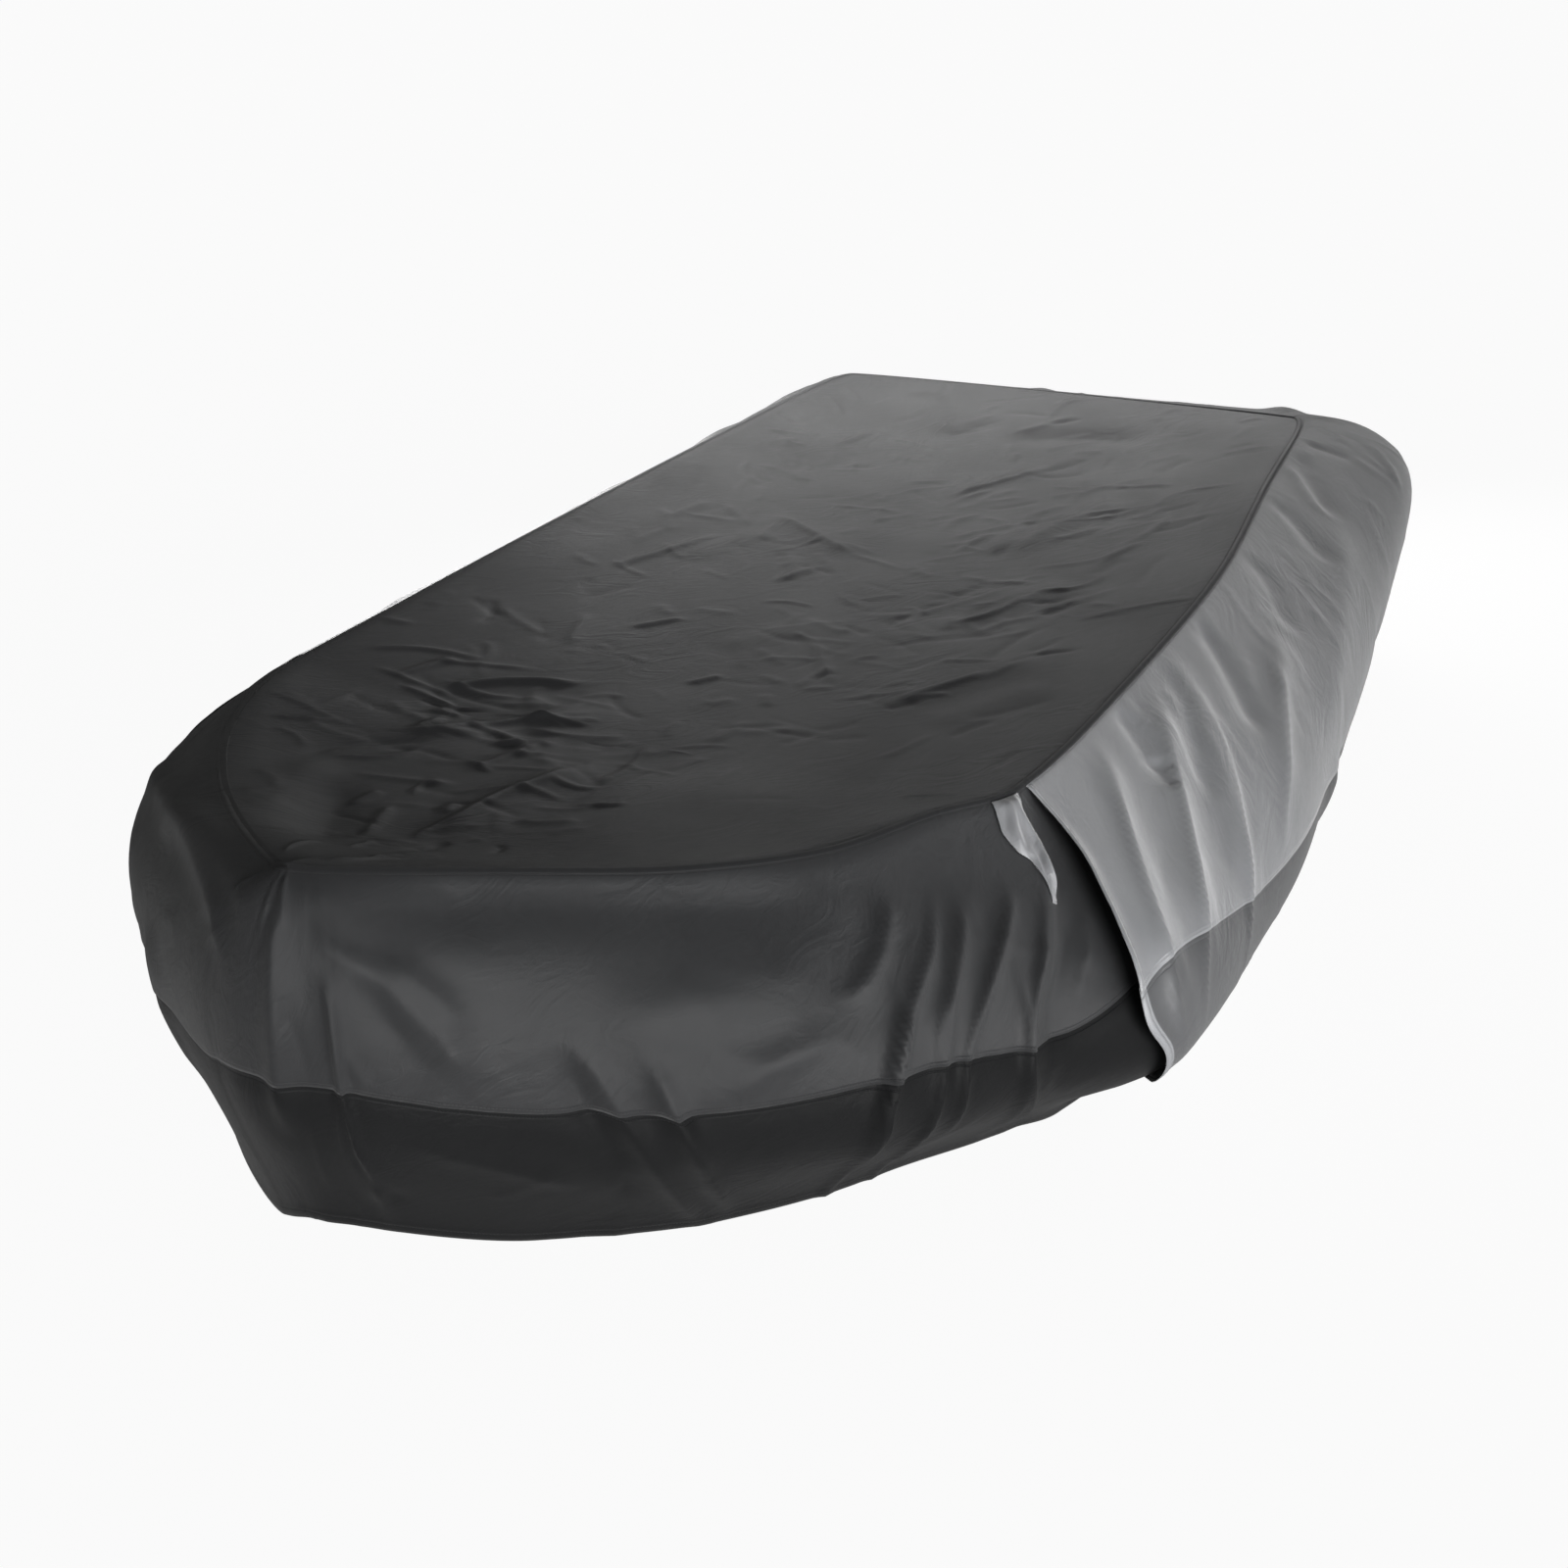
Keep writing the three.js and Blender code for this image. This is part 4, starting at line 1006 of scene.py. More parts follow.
def weave_group():
    """Plain weave: threads over and under one another along both ways of the cloth."""
    group, source, target = new_group("Plain weave", [
        ("NodeSocketFloat", "Thread", 0.0006),
    ], [("NodeSocketFloat", "Height"), ("NodeSocketFloat", "Gap")])
    n = Nodes(group)
    axes = n.cloth_axes()
    turn = n.math("DIVIDE", math.pi, source.outputs["Thread"])
    waves = [n.math("SINE", n.math("MULTIPLY", axes[axis], turn)) for axis in (0, 1)]
    crossing = n.math("MULTIPLY", *waves)
    height = n.math("ADD", n.math("MULTIPLY", crossing, 0.5), 0.5)
    gap = n.math("MULTIPLY", n.math("ABSOLUTE", waves[0]), n.math("ABSOLUTE", waves[1]))
    group.links.new(height, target.inputs["Height"])
    group.links.new(gap, target.inputs["Gap"])
    return group


def crumple_group():
    """Small soft crumples of thin coated cloth, in two sizes, stronger in some places than in others."""
    group, source, target = new_group("Cloth crumple", [
        ("NodeSocketFloat", "Size", 0.06),
        ("NodeSocketFloat", "Stretch", 2.0),
        ("NodeSocketFloat", "Turn", 0.6),
    ], [("NodeSocketFloat", "Height")])
    n = Nodes(group)
    place = n.cloth_place()
    turned = n.add("ShaderNodeVectorRotate", {"Vector": place, "Angle": source.outputs["Turn"]}).outputs[0]
    stretch = n.add("ShaderNodeCombineXYZ", {"X": source.outputs["Stretch"], "Y": 1.0, "Z": 1.0}).outputs[0]
    drawn = n.vector("DIVIDE", turned, stretch).outputs[0]
    scale = n.math("DIVIDE", 1.0, source.outputs["Size"])
    heights = []
    for finer, shift in CRUMPLES:
        moved = n.vector("ADD", drawn, shift).outputs[0]
        noise = n.noise(moved, n.math("MULTIPLY", scale, finer), **CRUMPLE_NOISE)
        ridge = n.math("ABSOLUTE", n.math("SUBTRACT", noise, 0.5))
        heights.append(n.math("SUBTRACT", 1.0, n.math("MULTIPLY", ridge, CRUMPLE_SHARPNESS), clamp=True))
    patch = n.between(n.noise(place, **PATCH), *PATCH_RANGE, *PATCH_SHARES)
    both = n.math("ADD", heights[0], n.math("MULTIPLY", heights[1], FINER_SHARE))
    group.links.new(n.math("MULTIPLY", both, patch), target.inputs["Height"])
    return group


def stitch_group():
    """A sewn line: a row of short stitches beside a pressed groove, at a distance from a seam."""
    group, source, target = new_group("Sewn line", [
        ("NodeSocketFloat", "From seam", 0.0),
        ("NodeSocketFloat", "Offset", 0.006),
        ("NodeSocketFloat", "Stitch", 0.0035),
        ("NodeSocketFloat", "Thread", 0.0007),
    ], [("NodeSocketFloat", "Stitches"), ("NodeSocketFloat", "Groove")])
    n = Nodes(group)
    axes = n.cloth_axes()
    off = n.math("ABSOLUTE", n.math("SUBTRACT", source.outputs["From seam"], source.outputs["Offset"]))
    line = n.between(off, 0.0, source.outputs["Thread"], 1.0, 0.0)
    groove = n.between(off, 0.0, n.math("MULTIPLY", source.outputs["Thread"], GROOVE_THREADS), 1.0, 0.0)
    turn = n.math("DIVIDE", 2 * math.pi, source.outputs["Stitch"])
    along = n.math("ADD", axes[0], n.math("MULTIPLY", axes[1], STITCH_SLANT))
    wave = n.math("SINE", n.math("MULTIPLY", along, turn))
    dash = n.between(wave, *STITCH_ENDS)
    group.links.new(n.math("MULTIPLY", line, dash), target.inputs["Stitches"])
    group.links.new(groove, target.inputs["Groove"])
    return group


BUILD_GROUP = {"Plain weave": weave_group, "Cloth crumple": crumple_group, "Sewn line": stitch_group}


def group_node(n, name):
    """A node of a shared group, which is made when it is first asked for."""
    return n.add("ShaderNodeGroup", node_tree=bpy.data.node_groups.get(name) or BUILD_GROUP[name]())


def toned(colour, share=1.0):
    """A colour made darker or paler, with its alpha."""
    return tuple(min(part * share, 1.0) for part in colour[:3]) + (1.0,)


def cloth_material(name, colour, finish, seams, gloss, binding=None):
    """Thin coated woven cloth.

    seams: the attribute and the offset in metres of each sewn line. binding: the colour of its free edge.
    """
    material = bpy.data.materials.new(name)
    material.use_nodes = True
    shader = material.node_tree.nodes["Principled BSDF"]
    n = Nodes(material.node_tree)
    weave = group_node(n, "Plain weave")
    weave.inputs["Thread"].default_value = finish.thread_pitch
    crumple = group_node(n, "Cloth crumple")
    crumple.inputs["Size"].default_value = finish.crumple_size
    place = n.cloth_place()
    mottle, slub = n.noise(place, **MOTTLE), n.noise(place, **SLUB)
    shade = n.math("ADD", n.math("MULTIPLY", mottle, SHADES["mottle"]), n.math("MULTIPLY", slub, SHADES["slub"]))
    dark = toned(colour, TONES["dark"])
    body = n.mix(shade, dark, toned(colour, TONES["light"]))
    body = n.mix(n.math("MULTIPLY", weave.outputs["Gap"], SHADES["gap"]), body, dark)
    # The cloth is painted paler along the crumples' crests, following the bump.
    paler_crests = n.math("MULTIPLY", crumple.outputs["Height"], finish.crest_paling)
    body = n.mix(paler_crests, body, toned(colour, TONES["crest_pale"]))
    if binding is not None:
        body = n.mix(n.between(n.attribute("from_edge"), *BINDING_EDGE, 1.0, 0.0), body, toned(binding))
    grooves_and_shade, stitches = 0.0, 0.0
    for attribute, offset in seams:
        sewn = group_node(n, "Sewn line")
        n.feed(sewn.inputs["From seam"], n.attribute(attribute))
        sewn.inputs["Offset"].default_value = offset
        grooves_and_shade = n.math("MAXIMUM", grooves_and_shade, sewn.outputs["Groove"])
        stitches = n.math("MAXIMUM", stitches, sewn.outputs["Stitches"])
    # Painted shade: the sewn grooves are darkened in colour, besides their dip in the bump below.
    body = n.mix(n.math("MULTIPLY", grooves_and_shade, SHADES["groove"]), body, dark)
    body = n.mix(stitches, body, toned(finish.thread_colour))
    height = n.math("MULTIPLY", crumple.outputs["Height"], finish.crumple_height / MM)
    weave_height = finish.thread_pitch * HEIGHTS["weave"] / MM
    height = n.math("ADD", height, n.math("MULTIPLY", weave.outputs["Height"], weave_height))
    height = n.math("SUBTRACT", height, n.math("MULTIPLY", grooves_and_shade, HEIGHTS["groove"]))
    height = n.math("ADD", height, n.math("MULTIPLY", stitches, HEIGHTS["stitch"]))
    bump = n.add("ShaderNodeBump", {"Height": height, "Strength": 1.0, "Distance": MM})
    rough = n.math("ADD", mottle, n.math("MULTIPLY", slub, SLUB_ROUGHNESS))
    roughness = n.between(rough, *ROUGH_RANGE, *(finish.roughness + way for way in ROUGH_SPREAD))
    n.feed(shader.inputs["Normal"], bump.outputs[0])
    n.feed(shader.inputs["Base Color"], body)
    n.feed(shader.inputs["Roughness"], roughness)
    shader.inputs["Sheen Weight"].default_value = finish.sheen * gloss
    shader.inputs["Sheen Roughness"].default_value = SHEEN_ROUGHNESS
    shader.inputs["Specular IOR Level"].default_value = finish.specular * gloss
    return material


def cover_material(finish):
    name = "coated cover cloth"
    seams = [("from_rim", 0.007), ("from_band", -0.005), ("from_edge", 0.009)]
    return bpy.data.materials.get(name) or cloth_material(name, finish.cloth_colour, finish, seams, 1.0)


def band_material(finish):
    name = "coated band cloth"
    seams = [("from_band", 0.005), ("from_hem", 0.016), ("from_edge", 0.009)]
    return bpy.data.materials.get(name) or cloth_material(
        name, finish.band_colour, finish, seams, finish.band_gloss, finish.cloth_colour)


class CoverSizes(bpy.types.PropertyGroup):
    point_step: bpy.props.FloatProperty(
        name="Point spacing", description="Distance between the points of the cloth",
        default=0.0075, min=0.004, unit="LENGTH")
    top_step: bpy.props.FloatProperty(
        name="Top point spacing", description="Distance between the points of the top",
        default=0.0062, min=0.004, unit="LENGTH")
    thickness: bpy.props.FloatProperty(
        name="Cloth thickness", description="How thick the hanging cloth is",
        default=0.0014, min=0.0005, unit="LENGTH")
    crease_height: bpy.props.FloatProperty(
        name="Fine creases", description="How high the fine creases stand, as a share of their tables",
        default=1.0, min=0.0)
    welt_width: bpy.props.FloatProperty(
        name="Rim seam width", description="Width of the bound seam along the rim",
        default=0.011, min=0.002, unit="LENGTH")
    welt_height: bpy.props.FloatProperty(
        name="Rim seam height", description="How far the bound seam stands up",
        default=0.0035, min=0.0005, unit="LENGTH")


class CoverFinish(bpy.types.PropertyGroup):
    cloth_colour: bpy.props.FloatVectorProperty(
        name="Cloth", description="Colour of the cover's cloth",
        subtype="COLOR", size=3, default=(0.07, 0.0714, 0.0747), min=0, max=1)
    band_colour: bpy.props.FloatVectorProperty(
        name="Band", description="Colour of the hem band",
        subtype="COLOR", size=3, default=(0.026, 0.0265, 0.0277), min=0, max=1)
    thread_colour: bpy.props.FloatVectorProperty(
        name="Thread", description="Colour of the sewing thread",
        subtype="COLOR", size=3, default=(0.04, 0.041, 0.044), min=0, max=1)
    roughness: bpy.props.FloatProperty(
        name="Roughness", description="How dull the coating is", default=0.42, min=0, max=1, subtype="FACTOR")
    specular: bpy.props.FloatProperty(
        name="Gloss", description="Strength of the cloth's gloss",
        default=0.4, min=0, max=1, subtype="FACTOR")
    band_gloss: bpy.props.FloatProperty(
        name="Band gloss", description="Gloss of the hem band as a share of the cloth's",
        default=0.5, min=0, max=1, subtype="FACTOR")
    sheen: bpy.props.FloatProperty(
        name="Sheen", description="Soft light along grazing folds",
        default=0.2, min=0, max=1, subtype="FACTOR")
    thread_pitch: bpy.props.FloatProperty(
        name="Thread pitch", description="Distance between threads",
        default=0.0006, min=0.0002, unit="LENGTH")
    crumple_size: bpy.props.FloatProperty(
        name="Crumple size", description="Width of the small crumples",
        default=0.05, min=0.005, unit="LENGTH")
    crumple_height: bpy.props.FloatProperty(
        name="Crumple height", description="Height of the small crumples",
        default=0.0006, min=0, unit="LENGTH")
    crest_paling: bpy.props.FloatProperty(
        name="Crest paling", description="How much paler the cloth is along its creases",
        default=0.1, min=0, max=1, subtype="FACTOR")


class CoverStage(bpy.types.PropertyGroup):
    floor_colour: bpy.props.FloatVectorProperty(
        name="Floor", description="Colour of the floor",
        subtype="COLOR", size=3, default=(0.12, 0.12, 0.12), min=0, max=1)
    floor_reach: bpy.props.FloatProperty(
        name="Floor reach", description="How far the floor runs from the middle",
        default=70.0, min=5, unit="LENGTH")
    room_light: bpy.props.FloatProperty(
        name="Room light", description="Brightness of the dim room all round", default=0.05, min=0, max=1)
    stern_power: bpy.props.FloatProperty(
        name="Stern light", description="Power of the wide low light beyond the stern, in watts",
        default=4.9, min=0)
    stern_place: bpy.props.FloatVectorProperty(
        name="Stern light place", description="Where the stern light stands",
        subtype="XYZ", size=3, default=(-2.2, -0.2, 1.1))
    stern_width: bpy.props.FloatProperty(
        name="Stern light width", description="Width of the stern light", default=3.0, min=0.1, unit="LENGTH")
    stern_height: bpy.props.FloatProperty(
        name="Stern light height", description="Height of the stern light",
        default=0.5, min=0.1, unit="LENGTH")
    stern_spread: bpy.props.FloatProperty(
        name="Stern light spread", description="How wide the stern light's beam is, in degrees",
        default=90.0, min=1, max=180)
    floor_glow: bpy.props.FloatProperty(
        name="Floor glow", description="Brightness of the lit floor as it is seen", default=0.94, min=0)
    floor_bounce: bpy.props.FloatProperty(
        name="Floor bounce", description="Brightness of the lit floor as it lights the cover",
        default=0.25, min=0)
    key_strength: bpy.props.FloatProperty(
        name="Side light", description="Power of the wide soft light beside the port bow, in watts",
        default=280.0, min=0)
    bow_strength: bpy.props.FloatProperty(
        name="Bow light", description="Power of the low light on the bow's cloth, in watts",
        default=9.0, min=0)
    starboard_strength: bpy.props.FloatProperty(
        name="Starboard light", description="Power of the light on the starboard and stern cloth, in watts",
        default=90.0, min=0)
    key_size: bpy.props.FloatProperty(
        name="Side light size", description="Width of the side light", default=1.6, min=0.1, unit="LENGTH")
    key_place: bpy.props.FloatVectorProperty(
        name="Side light place", description="Where the side light stands",
        subtype="XYZ", size=3, default=(1.9, 2.0, 0.3))
    front_strength: bpy.props.FloatProperty(
        name="Front light", description="Strength of the soft light from beyond the bow", default=2.4, min=0)
    front_heading: bpy.props.FloatProperty(
        name="Front light heading", description="Where the front light is, in degrees from the bow to port",
        default=52.0)
    front_rise: bpy.props.FloatProperty(
        name="Front light rise", description="How high the front light is, in degrees",
        default=3.0, min=0, max=90)
    camera_height: bpy.props.FloatProperty(
        name="Eye height", description="Height of the camera", default=1.5, min=0.1, unit="LENGTH")


def declare(piece, node):
    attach(piece, "root")
    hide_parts(node)


class COVER_OT_top(bpy.types.Operator):
    """Lay the top, sewn to the rims, with its sag and creases"""

    bl_idname = "cover.top"
    bl_label = "Top"

    def execute(self, context):
        sizes = context.scene.cover_sizes
        points, inside = top_grid(sizes.top_step / MM, sizes)
        uv = points[..., :2] * MM
        piece = grid_mesh("top_cloth", to_row(points), uv, {"from_rim": inside * MM})
        piece.data.flip_normals()
        piece.data.materials.append(cover_material(context.scene.cover_finish))
        declare(piece, "top_panel")
        return {"FINISHED"}


def make_skirt(context, side):
    sizes = context.scene.cover_sizes
    piece = cloth_strip(f"{side}_skirt_cloth", side, 0.0, SKIRT_DOWN, sizes)
    thicken(piece, sizes.thickness)
    piece.data.materials.append(cover_material(context.scene.cover_finish))
    declare(piece, f"{side}_skirt")


class COVER_OT_gather(bpy.types.Operator):
    """Bunch up the cloth at the head of the port pleat"""

    bl_idname = "cover.gather"
    bl_label = "Pleat gather"

    ROW_STEP = 0.02
    COLUMN_STEP = 0.03
    GROUND = 0.18
    RIPPLE = {"height": 0.07, "across": 2.3, "down": 3.1, "closing": 1.5}
    EDGE = 0.02
    RISING = (0, 0.1)
    FADING = (0.75, 1)

    def execute(self, context):
        sizes = context.scene.cover_sizes
        down, across = steps(0, 1, self.ROW_STEP), steps(0, 1, self.COLUMN_STEP)[:, None]
        lengths = [row["s"] for row in GATHER]
        s = lengths[0] + down * (lengths[-1] - lengths[0])
        fore, aft = (
            smooth_curve(lengths, [row[name] for row in GATHER])(s)[None, :] for name in ("fore", "aft")
        )
        q = fore + (aft - fore) * across
        s = np.broadcast_to(s[None, :], q.shape)
        points = bow_cloth(q, s, sizes)
        turns = self.RIPPLE["across"] * across + self.RIPPLE["down"] * down ** self.RIPPLE["closing"]
        relief = self.GROUND + self.RIPPLE["height"] * np.sin(2 * math.pi * turns)
        for strand in GATHER_STRANDS:
            sway = strand["sway"] * np.sin(strand["bends"] * down + strand["start"])
            shape = np.exp(-(((across - strand["middle"] - sway) / strand["width"]) ** 2))
            relief = relief + strand["rise"] * shape * (1 - smooth_step(*strand["fade"], down))
        body = np.sin(math.pi * np.clip(across, self.EDGE, 1 - self.EDGE)) ** 0.5
        body = body * smooth_step(*self.RISING, down) * (1 - smooth_step(*self.FADING, down))
        lift = GATHER_RISE * body * relief + GATHER_LIFT
        points = points + outward(points) * lift[..., None]
        uv = np.stack([q * MM, s * MM], -1)
        unsewn = {name: np.full(q.shape, NO_EDGE * MM) for name in ("from_rim", "from_band", "from_edge")}
        piece = grid_mesh("pleat_gather", to_row(points), uv, unsewn)
        thicken(piece, sizes.thickness)
        piece.data.materials.append(cover_material(context.scene.cover_finish))
        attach(piece, "root")
        return {"FINISHED"}


class COVER_OT_bow(bpy.types.Operator):
    """Hang the cloth round the bow, with the shoulder pleats at its ends"""

    bl_idname = "cover.bow"
    bl_label = "Bow cloth"

    def execute(self, context):
        make_skirt(context, "bow")
        return {"FINISHED"}


class COVER_OT_sides(bpy.types.Operator):
    """Hang the cloth of the port and starboard sides"""

    bl_idname = "cover.sides"
    bl_label = "Side cloths"

    def execute(self, context):
        make_skirt(context, "port")
        make_skirt(context, "starboard")
        return {"FINISHED"}


class COVER_OT_stern(bpy.types.Operator):
    """Hang the cloth across the stern"""

    bl_idname = "cover.stern"
    bl_label = "Stern cloth"

    def execute(self, context):
        make_skirt(context, "stern")
        return {"FINISHED"}


class COVER_OT_bands(bpy.types.Operator):
    """Sew the darker bands along the hem"""

    bl_idname = "cover.bands"
    bl_label = "Hem bands"

    def execute(self, context):
        sizes = context.scene.cover_sizes
        for side, flat, area in (
            ("bow", (0.27, 2.4), 0.53),
            ("port", (0.3, 2.3), 0.56),
            ("starboard", (0.25, 2.3), 0.51),
            ("stern", (0.24, 1.3), 0.28),
        ):
            piece = cloth_strip(f"{side}_band_cloth", side, SKIRT_DOWN - BAND_LAP, HEM_DOWN, sizes)
            thicken(piece, sizes.thickness)
            piece.data.materials.append(band_material(context.scene.cover_finish))
            declare(piece, f"{side}_band")
        return {"FINISHED"}


class COVER_OT_rim_seam(bpy.types.Operator):
    """Bind the rim seam all round the top"""

    bl_idname = "cover.rim_seam"
    bl_label = "Rim seam"

    STEP = 6.0
    SUNK = 0.4
    # Across the seam, from the top's side to the skirt's, in shares of its half width and of its height.
    SHAPE = ((-1.0, 0.0), (-0.8, 0.55), (-0.4, 0.9), (0.0, 1.0), (0.4, 0.9), (0.8, 0.55), (1.0, 0.0))

    def execute(self, context):
        sizes = context.scene.cover_sizes
        q = np.append(np.arange(0, SIDE.round, self.STEP), SIDE.round)
        rim, out = SIDE.rim(q), SIDE.rim_out(q)
        start = np.radians(SIDE.at("start", q))[:, None]
        outward_way = unit(out * np.cos(start) + np.array([0, 0, -1.0]) * np.sin(start))
        inward_way = unit(-out + np.array([0, 0, -math.tan(math.radians(TOP_LEAN))]))
        half = sizes.welt_width / MM / 2
        rise = sizes.welt_height / MM * np.interp(q, EASE_PLACES, WELT_SHARES, period=SIDE.round)[:, None]
        up = unit(out * np.sin(start) + np.array([0, 0, 1.0]) * (1 + np.cos(start)))
        columns = []
        for across, height in self.SHAPE:
            side = outward_way if across > 0 else inward_way
            eased = rim_ease(q, np.full(len(q), abs(across) * half))
            columns.append(rim + side * abs(across) * half + eased + up * (height * rise - self.SUNK))
        points = np.stack(columns, 1)
        across = np.arange(len(self.SHAPE))[None, :] * half * MM / (len(self.SHAPE) // 2)
        uv = np.stack(np.broadcast_arrays(q[:, None] * MM, across), -1)
        piece = grid_mesh("rim_seam", to_row(points), uv)
        piece.data.materials.append(cover_material(context.scene.cover_finish))
        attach(piece, "root")
        return {"FINISHED"}


class COVER_OT_stage(bpy.types.Operator):
    """Set the pale floor, the soft light and the camera"""

    bl_idname = "cover.stage"
    bl_label = "Stage"

    LENS = 42.55
    SENSOR = 36.0
    TILT = (64.366, 0.0, 114.064)
    PLACE = (2.6731, 1.1106)
    KEY_AIM = (0.5, 0.6, 0.3)
    STERN_AIM = (-1.7, 0.1, 0.5)
    BOW_PLACE = (0.6, 1.7, 0.35)
    STARBOARD_PLACE = (-2.4, -3.2, 1.3)
    # Three of the lights fall on these pieces only.
    LIT_PIECES = {
        "port_light": ("port_skirt_cloth", "port_band_cloth", "pleat_gather"),
        "bow_light": ("bow_skirt_cloth",),
        "starboard_light": (
            "starboard_skirt_cloth", "starboard_band_cloth", "stern_skirt_cloth", "stern_band_cloth",
        ),
    }
    FRONT_WIDTH = 40.0
    CLIP_END = 300.0
    FLOOR_Z = -0.001
    FLOOR_GRAIN = 0.985
    FLOOR_ROUGHNESS = 0.9
    FLOOR_GLOSS = 0.1
    # The floor's bounce grows from a share of it to its full strength, between two places along a heading.
    FLOOR_HEADING = 42.0
    FLOOR_DIM = 0.2
    FLOOR_FADE = (-1.2, 1.4)

    def execute(self, context):
        stage = context.scene.cover_stage
        self.floor(context, stage)
        self.room(context, stage)
        self.light(context, stage)
        self.camera(context, stage)
        context.scene.view_settings.view_transform = "Standard"
        return {"FINISHED"}

    def floor(self, context, stage):
        reach = stage.floor_reach
        mesh = bpy.data.meshes.new("floor")
        signs = ((-1, -1), (1, -1), (1, 1), (-1, 1))
        mesh.from_pydata([(x * reach, y * reach, self.FLOOR_Z) for x, y in signs], [], [(0, 1, 2, 3)])
        floor = bpy.data.objects.new("floor", mesh)
        context.scene.collection.objects.link(floor)
        material = bpy.data.materials.new("floor_paint")
        material.use_nodes = True
        shader = material.node_tree.nodes["Principled BSDF"]
        n = Nodes(material.node_tree)
        place = n.add("ShaderNodeTexCoord").outputs["Object"]
        grain = n.add("ShaderNodeTexNoise", {"Vector": place, "Scale": 2.0, "Detail": 3.0})
        low, high = toned(stage.floor_colour, self.FLOOR_GRAIN), toned(stage.floor_colour)
        n.feed(shader.inputs["Base Color"], n.mix(grain.outputs[0], low, high))
        shader.inputs["Roughness"].default_value = self.FLOOR_ROUGHNESS
        shader.inputs["Specular IOR Level"].default_value = self.FLOOR_GLOSS
        shader.inputs["Emission Color"].default_value = (1.0, 1.0, 1.0, 1.0)
        seen = n.add("ShaderNodeLightPath").outputs["Is Camera Ray"]
        heading = math.radians(self.FLOOR_HEADING)
        way = (math.cos(heading), math.sin(heading), 0.0)
        along = n.vector("DOT_PRODUCT", place, way).outputs["Value"]
        bounce = n.between(along, *self.FLOOR_FADE, stage.floor_bounce * self.FLOOR_DIM, stage.floor_bounce)
        n.feed(shader.inputs["Emission Strength"], n.between(seen, 0.0, 1.0, bounce, stage.floor_glow))
        mesh.materials.append(material)

    def room(self, context, stage):
        world = bpy.data.worlds.new("room")
        world.use_nodes = True
        back = world.node_tree.nodes["Background"]
        back.inputs["Color"].default_value = (stage.room_light, stage.room_light, stage.room_light, 1.0)
        context.scene.world = world

    def panel(self, context, name, power, size, place, aim):
        lamp = bpy.data.lights.new(name, "AREA")
        lamp.shape = "RECTANGLE"
        lamp.energy = power
        lamp.size, lamp.size_y = size
        holder = bpy.data.objects.new(name, lamp)
        holder.location = place
        holder.rotation_euler = (Vector(aim) - holder.location).to_track_quat("-Z", "Y").to_euler()
        holder.visible_camera = False
        context.scene.collection.objects.link(holder)
        return holder

    def light(self, context, stage):
        stern = (stage.stern_width, stage.stern_height)
        holder = self.panel(context, "stern_light", stage.stern_power, stern, stage.stern_place, self.STERN_AIM)
        holder.data.spread = math.radians(stage.stern_spread)
        key = (stage.key_size, stage.key_size)
        for name, power, place in (
            ("port_light", stage.key_strength, stage.key_place),
            ("bow_light", stage.bow_strength, self.BOW_PLACE),
            ("starboard_light", stage.starboard_strength, self.STARBOARD_PLACE),
        ):
            holder = self.panel(context, name, power, key, place, self.KEY_AIM)
            lit = bpy.data.collections.new(f"lit by the {name}")
            for piece in self.LIT_PIECES[name]:
                lit.objects.link(bpy.data.objects[piece])
            holder.light_linking.receiver_collection = lit
        lamp = bpy.data.lights.new("front_light", "SUN")
        lamp.energy = stage.front_strength
        lamp.angle = math.radians(self.FRONT_WIDTH)
        holder = bpy.data.objects.new("front_light", lamp)
        heading = math.radians(stage.front_heading + 90)
        holder.rotation_euler = (math.radians(90 - stage.front_rise), 0.0, heading)
        context.scene.collection.objects.link(holder)

    def camera(self, context, stage):
        camera = bpy.data.cameras.new("camera")
        camera.lens, camera.sensor_width = self.LENS, self.SENSOR
        camera.clip_end = self.CLIP_END
        holder = bpy.data.objects.new("camera", camera)
        holder.location = (self.PLACE[0] - MIDDLE[0] * MM, self.PLACE[1] - MIDDLE[1] * MM, stage.camera_height)
        holder.rotation_euler = tuple(math.radians(angle) for angle in self.TILT)
        context.scene.collection.objects.link(holder)
        context.scene.camera = holder


class COVER_PT_panel(bpy.types.Panel):
    """Builds the cover piece by piece"""

    bl_idname = "COVER_PT_panel"
    bl_label = "Kayak cover"
    bl_space_type = "VIEW_3D"
    bl_region_type = "UI"
    bl_category = "Cover"

    def draw(self, context):
        layout = self.layout
        for group in (context.scene.cover_sizes, context.scene.cover_finish, context.scene.cover_stage):
            box = layout.box()
            for name in group.__annotations__:
                box.prop(group, name)
        for operator in OPERATORS:
            layout.operator(operator.bl_idname)


GROUPS = (CoverSizes, CoverFinish, CoverStage)
OPERATORS = (
    COVER_OT_rim_seam, COVER_OT_top, COVER_OT_gather, COVER_OT_bow,
    COVER_OT_sides, COVER_OT_stern, COVER_OT_bands, COVER_OT_stage,
)


def register():
    for item in GROUPS + OPERATORS + (COVER_PT_panel,):
        bpy.utils.register_class(item)
    bpy.types.Scene.cover_sizes = bpy.props.PointerProperty(type=CoverSizes)
    bpy.types.Scene.cover_finish = bpy.props.PointerProperty(type=CoverFinish)
    bpy.types.Scene.cover_stage = bpy.props.PointerProperty(type=CoverStage)


def unregister():
    del bpy.types.Scene.cover_stage
    del bpy.types.Scene.cover_finish
    del bpy.types.Scene.cover_sizes
    for item in reversed(GROUPS + OPERATORS + (COVER_PT_panel,)):
        bpy.utils.unregister_class(item)


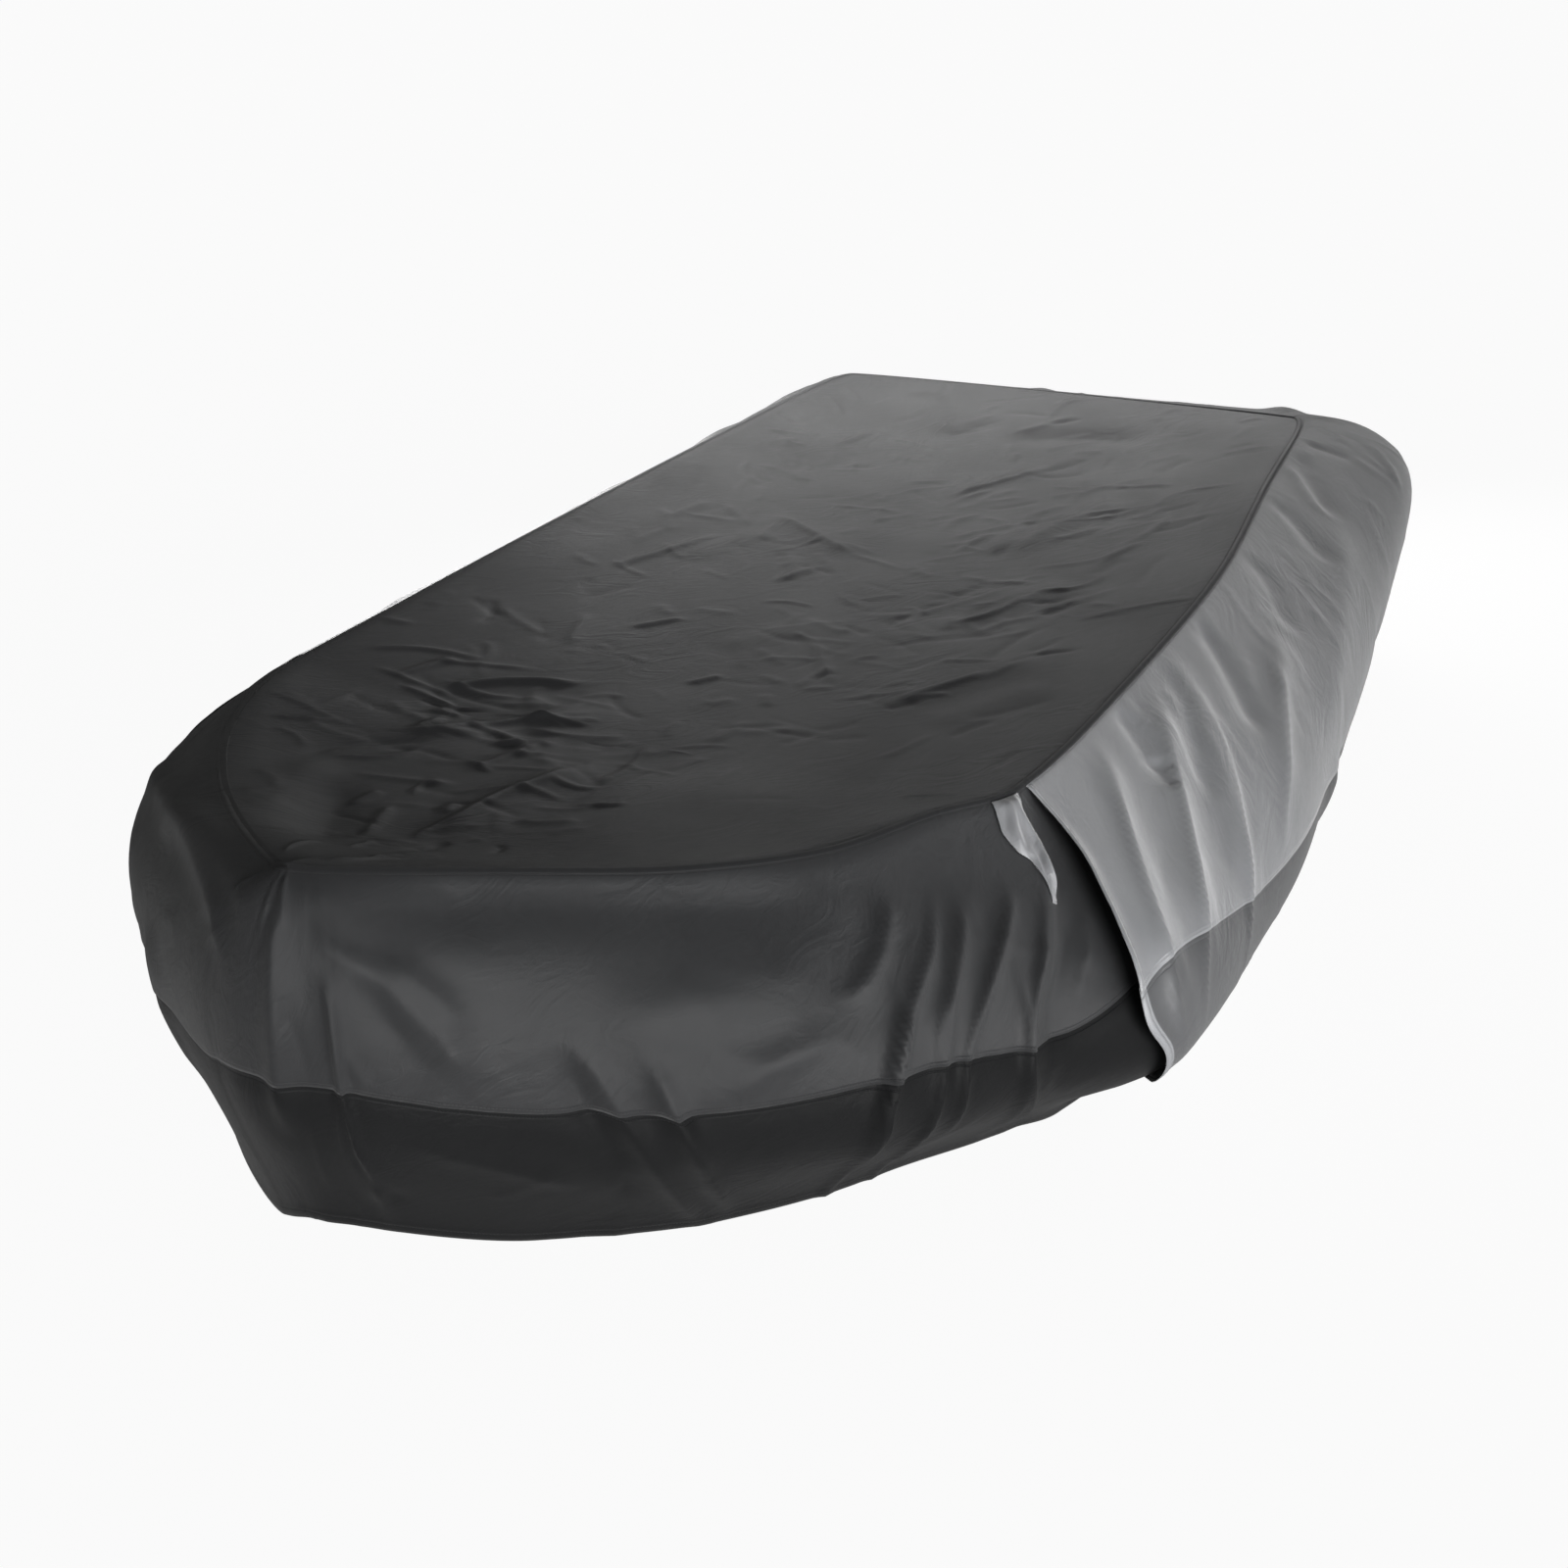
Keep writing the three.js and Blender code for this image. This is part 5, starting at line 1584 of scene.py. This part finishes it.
def main():
    register()
    bpy.ops.cover.rim_seam()
    bpy.ops.cover.top()
    bpy.ops.cover.gather()
    bpy.ops.cover.bow()
    bpy.ops.cover.sides()
    bpy.ops.cover.stern()
    bpy.ops.cover.bands()
    bpy.ops.cover.stage()
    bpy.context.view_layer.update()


if __name__ == "__main__":
    main()
